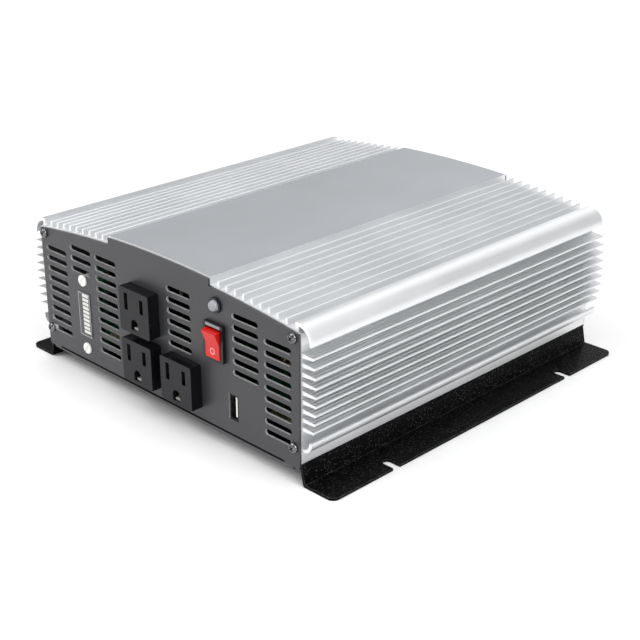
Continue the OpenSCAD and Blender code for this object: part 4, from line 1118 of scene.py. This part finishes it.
@dataclass
class Shell(Assembly):
    """The finned extrusion, the base and the two end panels, with their screws."""

    extrusion_edge: float = 0.45
    band_half: float = 40.3
    wall_inner: float = 100.1
    wall_top: float = 66.0
    roof_from: float = 60.0
    sheet_edge: float = 0.3
    vent_edge: float = 0.34
    recess_arm: float = 1.75
    recess_width: float = 0.85
    recess_depth: float = 1.45

    def build(self) -> None:
        """Builds the whole shell."""
        low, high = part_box("housing")

        def ends_only(at: Vector, along: Vector) -> float:
            """Full width round the sawn ends, less on the long corners."""
            sawn = min(abs(at.y - low.y), abs(at.y - high.y)) < 0.01 * MM
            return 1.0 if sawn else 0.4

        body = self.soften(Paint.ALLOY, self.extrusion_edge, "housing", rule=ends_only, split=False)[0]
        reface(body, Paint.SAWN, lambda face: abs(face.normal.y) > 0.35)
        # Paints shade on the faces inside the case.
        reface(body, Paint.INSIDE, self.faces_in)
        band = self.band_half * MM
        reface(body, Paint.BAND, lambda face: face.normal.z > 0.97 and abs(face.center.x) < band)
        # The base's and the panels' rounded edges take a lighter grey finish: a painted highlight.
        self.soften(Paint.BASE, self.sheet_edge, "base_plate", highlight_paint=Paint.EDGE)
        ends = ("front_panel", "rear_panel")
        for panel in self.soften(Paint.PANEL, self.vent_edge, *ends, split=False, highlight_paint=Paint.EDGE):
            self.vent_highlights(panel)
        self.screws("front_screws", FRONT, 3)
        self.screws("rear_screws", BACK, 5)
        self.screws("base_screws", DOWN, 7)

    def faces_in(self, face: bpy.types.MeshPolygon) -> bool:
        """Whether a face of the extrusion looks into the case; these faces get painted shade."""
        x, z = face.center.x / MM, face.center.z / MM
        beside = self.wall_inner - 2 < abs(x) < self.wall_inner + 0.2 and z < self.wall_top
        wall = beside and face.normal.x * x < 0
        roof = abs(x) < self.wall_inner and face.normal.z < -0.5 and z > self.roof_from
        return wall or roof

    def vent_highlights(self, panel: bpy.types.Object) -> None:
        """Gives the walls of the vents, but not the panel's own rim, a light grey: a painted highlight."""
        xs = [v.co.x for v in panel.data.vertices]
        zs = [v.co.z for v in panel.data.vertices]
        inset = 4 * MM
        left, right, foot, top = min(xs) + inset, max(xs) - inset, min(zs) + 3 * inset, max(zs) - 3 * inset
        reface(
            panel, Paint.PUNCHED,
            lambda face: (abs(face.normal.y) < 0.95 and left < face.center.x < right
                          and foot < face.center.z < top),
        )

    def screws(self, node: str, way: Vector, seed: int) -> None:
        """Cross-recessed pan heads in place of a CAD node of plain screws."""
        places = []
        for low, high in solids(node):
            axis = [i for i in range(3) if way[i]][0]
            top = low[axis] if way[axis] < 0 else high[axis]
            radius = min((high[i] - low[i]) / 2 for i in range(3) if i != axis)
            place = (low + high) / 2
            place[axis] = top
            places.append((place, radius))
        radius = places[0][1] / MM
        height = 2.1
        head = pan_head(radius, height, cross(self.recess_arm, self.recess_width), self.recess_depth)
        spots_at = [(place - way * height * MM, way, 0.3) for place, _ in places]
        shafts = self.shafts(spots_at, way, radius * 0.55)
        self.place(node + "_heads", Paint.SCREW, head, spots_at, [node], wobble=0.7, seed=seed)
        self.keep(link(node + "_shafts", shafts), Paint.SCREW)

    @staticmethod
    def shafts(places: Sequence[tuple[Vector, Vector, float]], way: Vector, radius: float) -> bpy.types.Mesh:
        """Threaded shanks behind the heads, each a turned body with a chamfered tip."""
        whole = bmesh.new()
        for place, _, _ in places:
            profile = [(0.0, 0.0), (radius, 0.0)]
            for k in range(7):
                z = -0.6 - k * 0.7
                profile += [(radius, z), (radius * 0.84, z - 0.35)]
            profile += [(radius * 0.5, -5.6), (0.0, -5.6)]
            one = revolved(profile, "shank", 16, MM)
            one.transform(Matrix.Translation(place) @ way.to_track_quat("Z", "Y").to_matrix().to_4x4())
            whole.from_mesh(one)
            bpy.data.meshes.remove(one)
        return smooth_mesh(whole, "shafts")


@dataclass
class Outlets(Assembly):
    """Three grounded mains outlets with their contacts and leads."""

    edge: float = 0.9
    slot_share: float = 0.3

    def build(self) -> None:
        """Rounds each outlet, gives its rounded rim a painted highlight and its face the textured finish."""
        for node in ("outlet_upper", "outlet_lower_left", "outlet_lower_right"):
            low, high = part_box(node)
            inset = 1.3 * MM

            def face_edge(at: Vector, along: Vector, low: Vector = low, high: Vector = high) -> float:
                """Full width round the face's rim, less at the slots and behind."""
                rim = min(at.x - low.x, high.x - at.x, at.z - low.z, high.z - at.z) < inset
                return 1.0 if rim and at.y < low.y + 0.05 * MM else self.slot_share

            piece = self.soften(
                Paint.OUTLET, self.edge, node, rule=face_edge, segments=4, highlight_paint=Paint.OUTLET_RIM
            )[0]
            front = low.y + 0.1 * MM
            reface(piece, Paint.OUTLET_FACE, lambda f, y=front: f.normal.y < -0.9 and f.center.y < y)
        self.dress(Paint.CONTACT, "outlet_contacts")
        self.dress(Paint.MAINS, "outlet_leads")


@dataclass
class Switch(Assembly):
    """The rocker switch: bezel and body, rocker with its marks, solder tabs."""

    bezel_edge: float = 0.5
    rocker_edge: float = 0.7
    mark_radius: float = 1.7
    mark_width: float = 0.4
    mark_lift: float = 0.03
    highlight_width: float = 10.6
    highlight_height: float = 1.5
    highlight_inset: float = 0.55

    def build(self) -> None:
        """Builds the switch; the rocker and its marks ride on their own body."""
        self.soften(Paint.BLACK, self.bezel_edge, "switch_body", segments=3)
        rocker = self.soften(
            Paint.ROCKER, self.rocker_edge, "switch_rocker", rule=self.rocker_rule, segments=4, body="rocker"
        )[0]
        self.dress(Paint.TIN, "switch_terminals")
        low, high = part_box("switch_body")
        # A pale grey strip at the bezel's top: a painted highlight where the ledge faces up to the light.
        wide, tall = self.highlight_width / 2, self.highlight_height / 2
        corners = [(wide, tall), (-wide, tall), (-wide, -tall), (wide, -tall)]
        land = prism(corners, 0.0, self.mark_lift, "land")
        at = Vector(((low.x + high.x) / 2, low.y, high.z - (tall + self.highlight_inset) * MM))
        self.place("bezel_land", Paint.LAND, land, [(at, FRONT, 0.0)])
        ring = self.ring(self.mark_radius, self.mark_width)
        self.place("rocker_off_mark", Paint.MARK, ring, [(*self.lower_face(rocker.data), 0.0)], body="rocker")

    @staticmethod
    def rocker_rule(at: Vector, along: Vector) -> float:
        """Rounds the rocker's outside and leaves its pins and back nearly sharp."""
        low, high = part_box("switch_rocker")
        return 1.0 if at.y < (low.y + high.y) / 2 - 0.5 * MM else 0.3

    @staticmethod
    def lower_face(mesh: bpy.types.Mesh) -> tuple[Vector, Vector]:
        """Centre and normal of the rocker's lower pressed face, from its faces' areas."""
        pivot = middle("switch_rocker").z
        facing = [f for f in mesh.polygons if f.normal.y < -0.7 and f.center.z < pivot]
        widest = max(facing, key=lambda f: f.area)
        flat = [f for f in facing if f.normal.dot(widest.normal) > 0.999]
        area = sum(f.area for f in flat)
        centre = sum((f.center * f.area for f in flat), Vector()) / area
        return centre, widest.normal.copy()

    def ring(self, radius: float, width: float) -> bpy.types.Mesh:
        """A flat printed ring, in millimetres."""
        shape = bmesh.new()
        sides, lift = 40, self.mark_lift
        loops = []
        for r, z in ((radius - width, 0.0), (radius - width, lift), (radius, lift), (radius, 0.0)):
            loops.append([shape.verts.new((r * math.cos(k * TURN / sides), r * math.sin(k * TURN / sides), z))
                          for k in range(sides)])
        for a, b in zip(loops, loops[1:] + loops[:1]):
            for k in range(sides):
                n = (k + 1) % sides
                shape.faces.new((a[k], a[n], b[n], b[k]))
        bmesh.ops.recalc_face_normals(shape, faces=shape.faces)
        return smooth_mesh(shape, "ring")


@dataclass
class Lamp(Assembly):
    """The indicator: a bezel and a clear domed lens."""

    edge: float = 0.25

    def build(self) -> None:
        """Builds the indicator."""
        self.soften(Paint.BLACK, self.edge, "lamp_bezel", segments=3)
        low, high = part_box("lamp_lens")
        radius = (high.x - low.x) / 2 / MM
        depth = (high.y - low.y) / MM
        dome = [(radius * math.sin(k * math.pi / 24), radius * (math.cos(k * math.pi / 24) - 1))
                for k in range(13)]
        seat = [(radius, -3.9), (radius - 0.5, -5.9), (radius - 0.5, 0.4 - depth), (0.0, 0.4 - depth)]
        lens = revolved(dome + seat, "lamp_lens_dome", 48)
        at = Vector((middle("lamp_lens").x, low.y, middle("lamp_lens").z))
        self.place("lamp_lens_dome", Paint.LENS, lens, [(at, FRONT, 0.0)], ["lamp_lens"])


@dataclass
class Display(Assembly):
    """The charge display: window, bars, module, board and nylon fasteners."""

    slot_depth: float = 0.55
    slot_width: float = 0.75
    slot_angle: float = math.radians(-35)
    rim_width: float = 0.45
    rim_lift: float = 0.12

    def build(self) -> None:
        """Builds the display."""
        self.soften(Paint.WINDOW, 0.35, "display_window", segments=3)
        self.rim()
        self.soften(Paint.BAR, 0.15, "display_bars")
        self.dress(Paint.BLACK, "display_module")
        self.dress(Paint.BOARD, "display_board")
        self.dress(Paint.NYLON, "display_spacers", "display_nuts")
        self.fasteners()

    def rim(self) -> None:
        """A pale rim round the window's face: a painted highlight along the window's edge."""
        low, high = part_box("display_window")
        wide, tall = (high.x - low.x) / 2 / MM, (high.z - low.z) / 2 / MM
        inner = (wide - self.rim_width, tall - self.rim_width)
        outer = [(wide, tall), (-wide, tall), (-wide, -tall), (wide, -tall)]
        hole = [(inner[0], inner[1]), (-inner[0], inner[1]), (-inner[0], -inner[1]), (inner[0], -inner[1])]
        shape = cut(prism(outer, 0.0, self.rim_lift, "rim"), prism(hole, -1.0, 1.0, "rim_hole"))
        at = Vector(((low.x + high.x) / 2, low.y, (low.z + high.z) / 2))
        self.place("display_rim", Paint.RIM, shape, [(at, FRONT, 0.0)])

    def fasteners(self) -> None:
        """Slotted nylon heads on their shanks."""
        places, depth = [], 0.0
        for low, high in solids("display_screws"):
            radius, depth = (high.x - low.x) / 2 / MM, (high.y - low.y) / MM
            front = Vector(((low.x + high.x) / 2, low.y, (low.z + high.z) / 2))
            places.append((front, FRONT, self.slot_angle))
        shank, face = 1.5, 0.0
        profile = [(0.0, face), (radius * 0.8, face), (radius * 0.93, face - 0.12), (radius, face - 0.4),
                   (radius, face - 1.2), (shank, face - 1.2), (shank, -depth + 0.4), (shank - 0.4, -depth),
                   (0.0, -depth)]
        body = revolved(profile, "nylon_screw", 40)
        half = self.slot_width / 2
        across = [(-half, -radius - 1), (half, -radius - 1), (half, radius + 1), (-half, radius + 1)]
        body = cut(body, prism(across, -self.slot_depth, 1.0, "slot"))
        self.place("display_screw_heads", Paint.NYLON, body, places, ["display_screws"])


@dataclass
class UsbPort(Assembly):
    """The USB port: shell, tongue with its contacts, and the board that it stands on."""

    strips: int = 4
    strip_width: float = 1.0
    strip_length: float = 6.5

    def build(self) -> None:
        """Builds the port."""
        self.soften(Paint.SHELL, 0.12, "usb_shell")
        self.soften(Paint.NYLON, 0.2, "usb_insert")
        self.dress(Paint.BOARD, "usb_board")
        low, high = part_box("usb_insert")
        half = self.strip_width / 2
        strip = prism([(-half, 0.0), (half, 0.0), (half, self.strip_length), (-half, self.strip_length)],
                      -0.02, 0.06, "strip")
        step = (high.z - low.z) / (self.strips + 1)
        face = high.x - (0.5 + 1.8) * MM
        left = Vector((-1, 0, 0))
        places = [(Vector((face, low.y + 0.6 * MM, low.z + step * (k + 1))), left, 0.0)
                  for k in range(self.strips)]
        self.place("usb_contacts", Paint.BRASS, strip, places)


@dataclass
class Boards(Assembly):
    """The main board and everything that stands on it."""

    chips: Geometry = field(default_factory=chip_tree)
    winding: Geometry = field(default_factory=winding_tree)
    chip_length: float = 2.2

    def build(self) -> None:
        """Builds the boards and their parts."""
        self.dress(Paint.BOARD, "main_board", "control_card")
        self.dress(Paint.BRASS, "board_standoffs")
        self.dress(Paint.TIN, "board_screws", "clamp_screws")
        self.dress(Paint.FILM, "insulation_sheet")
        self.dress(Paint.SPREADER, "heat_spreaders")
        self.dress(Paint.COPPER, "copper_busbars")
        self.soften(Paint.BLACK, 0.3, "transformer_bobbins", "power_transistors")
        self.soften(Paint.FERRITE, 0.5, "transformer_cores")
        self.soften(Paint.TAPE, 0.6, "transformer_coils")
        self.soften(Paint.TIN, 0.3, "clamp_bars")
        self.soften(Paint.FUSE, 0.4, "blade_fuses")
        self.soften(Paint.FERRITE, 0.1, "choke_core")
        self.cans("input_capacitors", Paint.SLEEVE)
        self.cans("bulk_capacitors", Paint.BLACK)
        self.choke()
        self.small_parts()

    def cans(self, node: str, paint: Paint) -> None:
        """Capacitors with a beaded foot, a rolled shoulder and a scored aluminium top."""
        places, caps = [], []
        for low, high in solids(node):
            radius, height = (high.x - low.x) / 2 / MM, (high.z - low.z) / MM
            foot = Vector(((low.x + high.x) / 2, (low.y + high.y) / 2, low.z))
            places.append((foot, UP, 0.0))
            caps.append((foot + UP * (height - 0.15) * MM, UP, 0.4))
        profile = [(0.0, 0.0), (radius - 0.9, 0.0), (radius - 0.6, 0.5), (radius, 1.3), (radius, 2.4),
                   (radius - 0.4, 3.0), (radius, 3.6), (radius, height - 1.0), (radius - 0.3, height - 0.3),
                   (radius - 1.0, height), (radius - 1.4, height - 0.2), (0.0, height - 0.2)]
        self.place(node + "_sleeves", paint, revolved(profile, "can", 36), places, [node])
        lid = revolved([(0.0, -0.3), (radius - 1.3, -0.3), (radius - 1.3, 0.0), (0.0, 0.0)], "lid", 36)
        lid = cut(lid, prism(cross(radius * 0.7, 0.35), -0.15, 1.0, "score"))
        self.place(node + "_lids", Paint.TIN, lid, caps, wobble=0.8, seed=11)

    def choke(self) -> None:
        """Turns of copper round the choke's core."""
        low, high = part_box("choke_core")
        tube = (high.z - low.z) / 2
        ring = (high.x - low.x) / 2 - tube
        wire = 0.7 * MM
        piece = self.winding.run(
            "choke_turns", Paint.COPPER, Ring_radius=ring, Loop_radius=tube + wire * 1.15,
            Wire_radius=wire, Turns=18,
        )
        piece.data.transform(Matrix.Translation((low + high) / 2))
        self.keep(piece, Paint.COPPER, ["choke_winding"])

    def small_parts(self) -> None:
        """Surface-mounted parts on two clear strips of the main board."""
        low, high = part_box("main_board")
        strips = ((low.x + 4 * MM, -32 * MM), (40 * MM, high.x - 4 * MM))
        for k, (x0, x1) in enumerate(strips):
            y0, y1 = low.y + 2 * MM, low.y + 20 * MM
            corners = [(x0, y0), (x1, y0), (x1, y1), (x0, y1)]
            mesh = bpy.data.meshes.new("strip")
            mesh.from_pydata([(x, y, high.z) for x, y in corners], [], [(0, 1, 2, 3)])
            piece = self.chips.run(
                f"small_parts_{k}", Paint.BLACK, mesh, Density=42000.0, Seed=5 + k,
                Part_length=self.chip_length * MM,
            )
            self.keep(piece, Paint.BLACK)


@dataclass
class Fan(Assembly):
    """One cooling fan: frame, wheel and guard."""

    side: str = "left"
    blades: Geometry = field(default_factory=blade_tree)
    guard: Geometry = field(default_factory=guard_tree)
    blade_count: int = 7
    pitch: float = math.radians(42)
    twist: float = math.radians(18)
    wire: float = 0.7

    def build(self) -> None:
        """Builds the fan on its own side."""
        self.soften(Paint.FAN, 0.45, f"fan_frame_{self.side}", segments=3)
        self.wheel()
        self.wire_guard()

    def stand(self, piece: bpy.types.Object, at: Vector) -> None:
        """Turns a mesh drawn about Z to stand about Y, facing back, at a place."""
        piece.data.transform(Matrix.Translation(at) @ Matrix.Rotation(-math.pi / 2, 4, "X"))

    def wheel(self) -> None:
        """A rounded hub with twisted blades."""
        node = f"fan_rotor_{self.side}"
        body = f"{self.side}_fan"
        low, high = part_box(node)
        radius = (high.x - low.x) / 2
        hub = radius * 14 / 27.5
        centre = (low + high) / 2
        depth = 14.5 * MM
        profile = [(0.0, 0.0), (hub * 0.86, 0.0), (hub * 0.95, -0.4 * MM), (hub * 0.99, -1.1 * MM),
                   (hub, -2.2 * MM), (hub, -depth), (hub - 1.5 * MM, -depth), (hub - 1.5 * MM, -2.5 * MM),
                   (1.5 * MM, -2.5 * MM), (1.5 * MM, -depth - 1.5 * MM), (0.0, -depth - 1.5 * MM)]
        cup = link(f"{node}_hub", revolved(profile, f"{node}_hub", 56))
        self.stand(cup, Vector((centre.x, high.y, centre.z)))
        self.keep(cup, Paint.FAN, [node], body)
        ring = self.blades.run(
            f"{node}_blades", Paint.FAN, Inner_radius=hub - 0.3 * MM, Outer_radius=radius - 0.2 * MM,
            Chord=17 * MM, Pitch=self.pitch, Twist=self.twist, Thickness=1.1 * MM, Blades=self.blade_count,
        )
        self.stand(ring, Vector((centre.x, high.y - depth / 2 - 1.0 * MM, centre.z)))
        self.keep(ring, Paint.FAN, (), body)
        label = revolved([(0.0, 0.0), (7.6, 0.0), (7.8, 0.04), (7.6, 0.08), (0.0, 0.08)], "label", 40)
        spot = Vector((centre.x, high.y - 0.02 * MM, centre.z))
        self.place(f"{node}_label", Paint.TIN, label, [(spot, BACK, 0.0)], body=body)

    def wire_guard(self) -> None:
        """Rings, spokes and eyes of plated wire with a pressed centre disc."""
        node = f"fan_guard_{self.side}"
        low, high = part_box(node)
        centre = (low + high) / 2
        wire = self.wire * MM
        bore = size(f"fan_rotor_{self.side}").x / 2 + 1.0 * MM
        reach = (high.x - low.x) / 2
        hole = 25 * MM
        eye = reach - hole - wire
        piece = self.guard.run(
            f"{node}_wires", Paint.WIRE,
            Wire_radius=wire, First_ring=0.48 * bore, Spacing=0.23 * bore, Rings=3,
            Ring_lift=1.5 * wire, Spoke_start=0.25 * bore - 1 * MM, Spoke_end=hole * math.sqrt(2) - eye,
            Eye_radius=eye, Eye_distance=hole * math.sqrt(2), Eye_lift=0.3 * MM,
        )
        self.stand(piece, Vector((centre.x, low.y + wire, centre.z)))
        self.keep(piece, Paint.WIRE, [node])
        disc = 0.25 * bore / MM
        profile = [
            (0.0, 0.7), (disc * 0.7, 0.6), (disc * 0.9, 0.35), (disc, 0.0), (disc - 0.4, -0.3), (0.0, -0.1),
        ]
        spot = Vector((centre.x, high.y - 0.8 * MM, centre.z))
        self.place(f"{node}_disc", Paint.WIRE, revolved(profile, "disc", 48), [(spot, BACK, 0.0)])


@dataclass
class FanFasteners(Assembly):
    """The screws, nuts and leads of both fans."""

    def build(self) -> None:
        """Builds the fasteners."""
        places = []
        for low, high in solids("fan_screws"):
            radius = (high.x - low.x) / 2 / MM
            places.append((Vector(((low.x + high.x) / 2, high.y, (low.z + high.z) / 2)), BACK, 0.2))
        height = 2.5
        head = pan_head(radius, height, cross(2.2, 0.95), 1.6)
        seats = [(place - BACK * height * MM, way, turn) for place, way, turn in places]
        self.place("fan_screw_heads", Paint.TIN, head, seats, ["fan_screws"], wobble=0.8, seed=9)
        shank = revolved([(0.0, 0.0), (1.9, 0.0), (1.9, -26.0), (1.5, -26.6), (0.0, -26.6)], "shank", 20)
        self.place("fan_screw_shanks", Paint.TIN, shank, seats)
        self.dress(Paint.TIN, "fan_nuts")
        self.dress(Paint.LEAD, "fan_leads")


@dataclass
class Terminals(Assembly):
    """The two DC studs with their insulators and nuts, and the chassis ground screw."""

    thread: Geometry = field(default_factory=thread_tree)
    pitch: float = 1.25
    core: float = 3.2

    def build(self) -> None:
        """Builds the terminals."""
        self.soften(Paint.RED, 0.5, "terminal_positive", segments=3)
        self.soften(Paint.DARK, 0.5, "terminal_negative", segments=3)
        self.dress(Paint.DARK, "terminal_rings")
        self.soften(Paint.TIN, 0.35, "terminal_nuts", "ground_terminal", segments=3)
        self.studs()

    def studs(self) -> None:
        """Threaded studs, each a core with a thread wound on its free end."""
        boxes = solids("terminal_studs")
        length = 11.0
        radius = (boxes[0][1].x - boxes[0][0].x) / 2 / MM
        thread = self.thread.run(
            "stud_thread", Paint.BRASS, Radius=radius, Pitch=self.pitch, Length=length
        )
        template = thread.data
        bpy.data.objects.remove(thread)
        template.materials.clear()
        inside = (boxes[0][1].y - boxes[0][0].y) / MM
        core = revolved(
            [(0.0, 0.0), (self.core - 0.6, 0.0), (self.core, -0.6), (self.core, -inside), (0.0, -inside)],
            "core", 32,
        )
        tips = [Vector(((a.x + b.x) / 2, b.y, (a.z + b.z) / 2)) for a, b in boxes]
        self.place("stud_cores", Paint.BRASS, core, [(tip, BACK, 0.0) for tip in tips], ["terminal_studs"])
        starts = [(tip - BACK * length * MM, BACK, 0.0) for tip in tips]
        self.place("stud_threads", Paint.BRASS, template, starts)


# ---- studio -----------------------------------------------------------------------------------


@dataclass
class Studio:
    """The floor, the lights and the camera."""

    lens: float = 73.54
    azimuth: float = math.radians(44.99)
    elevation: float = math.radians(23.76)
    stand: tuple[float, float, float] = (0.49202, -0.50040, 0.32546)
    sky: float = 0.42
    floor_tone: Colour = (0.93, 0.93, 0.93)
    floor_half: float = 25.0
    aim: tuple[float, float, float] = (0, 0, 0.04)
    sensor: float = 36.0
    clip: tuple[float, float] = (0.01, 50.0)

    def build(self) -> None:
        """Builds the studio."""
        bpy.context.scene.view_settings.view_transform = "Standard"
        self.world()
        self.floor()
        self.light("key", (-1.4, -1.8, 2.3), 2.2, 54.0)
        self.light("side", (2.4, -0.3, 1.7), 1.9, 50.0)
        self.light("low", (1.6, -2.2, 0.5), 1.2, 9.0)
        self.light("top", (0.2, 0.4, 3.0), 3.0, 36.0)
        self.light("rear", (-0.8, 2.6, 1.6), 1.8, 9.0)
        self.camera()

    def world(self) -> None:
        """An even grey surround, which the metal mirrors."""
        world = bpy.data.worlds.new("surround")
        world.use_nodes = True
        background = world.node_tree.nodes["Background"]
        background.inputs["Color"].default_value = (self.sky, self.sky, self.sky * 1.01, 1.0)
        bpy.context.scene.world = world

    def floor(self) -> None:
        """A wide pale floor."""
        half = self.floor_half
        mesh = bpy.data.meshes.new("floor")
        mesh.from_pydata([(-half, -half, 0), (half, -half, 0), (half, half, 0), (-half, half, 0)], [],
                         [(0, 1, 2, 3)])
        piece = link("floor", mesh)
        mesh.materials.append(Finish("pale_floor", self.floor_tone, 0.6, 0.0, 6.0, 0.01, 0.01).material())

    def light(self, name: str, at: tuple[float, float, float], side: float, power: float) -> None:
        """A square soft light aimed at the middle of the object."""
        data = bpy.data.lights.new(name, "AREA")
        data.size = side
        data.energy = power
        lamp = bpy.data.objects.new(name, data)
        lamp.location = at
        lamp.rotation_mode = "QUATERNION"
        lamp.rotation_quaternion = (Vector(self.aim) - Vector(at)).to_track_quat("-Z", "Y")
        bpy.context.scene.collection.objects.link(lamp)

    def camera(self) -> None:
        """The camera, at the view's own angle."""
        data = bpy.data.cameras.new("view")
        data.lens = self.lens
        data.sensor_width = self.sensor
        data.clip_start, data.clip_end = self.clip
        camera = bpy.data.objects.new("view", data)
        camera.location = self.stand
        level = math.cos(self.elevation)
        across, along = -math.sin(self.azimuth) * level, math.cos(self.azimuth) * level
        look = Vector((across, along, -math.sin(self.elevation)))
        camera.rotation_mode = "QUATERNION"
        camera.rotation_quaternion = look.to_track_quat("-Z", "Y")
        bpy.context.scene.collection.objects.link(camera)
        bpy.context.scene.camera = camera


def main() -> None:
    """Builds every sub-assembly and the studio."""
    logging.basicConfig(level=logging.INFO, format="%(name)s %(message)s")
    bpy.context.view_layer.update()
    placing = placing_tree()
    Studio().build()
    blades, guard = blade_tree(), guard_tree()
    parts: list[Assembly] = [
        Shell(placing), Outlets(placing), Switch(placing), Lamp(placing), Display(placing), UsbPort(placing),
        Boards(placing),
        Fan(placing, side="left", blades=blades, guard=guard),
        Fan(placing, side="right", blades=blades, guard=guard),
        FanFasteners(placing), Terminals(placing),
    ]
    for part in parts:
        part.build()
        LOG.info("built %s", type(part).__name__)


if __name__ == "__main__":
    main()
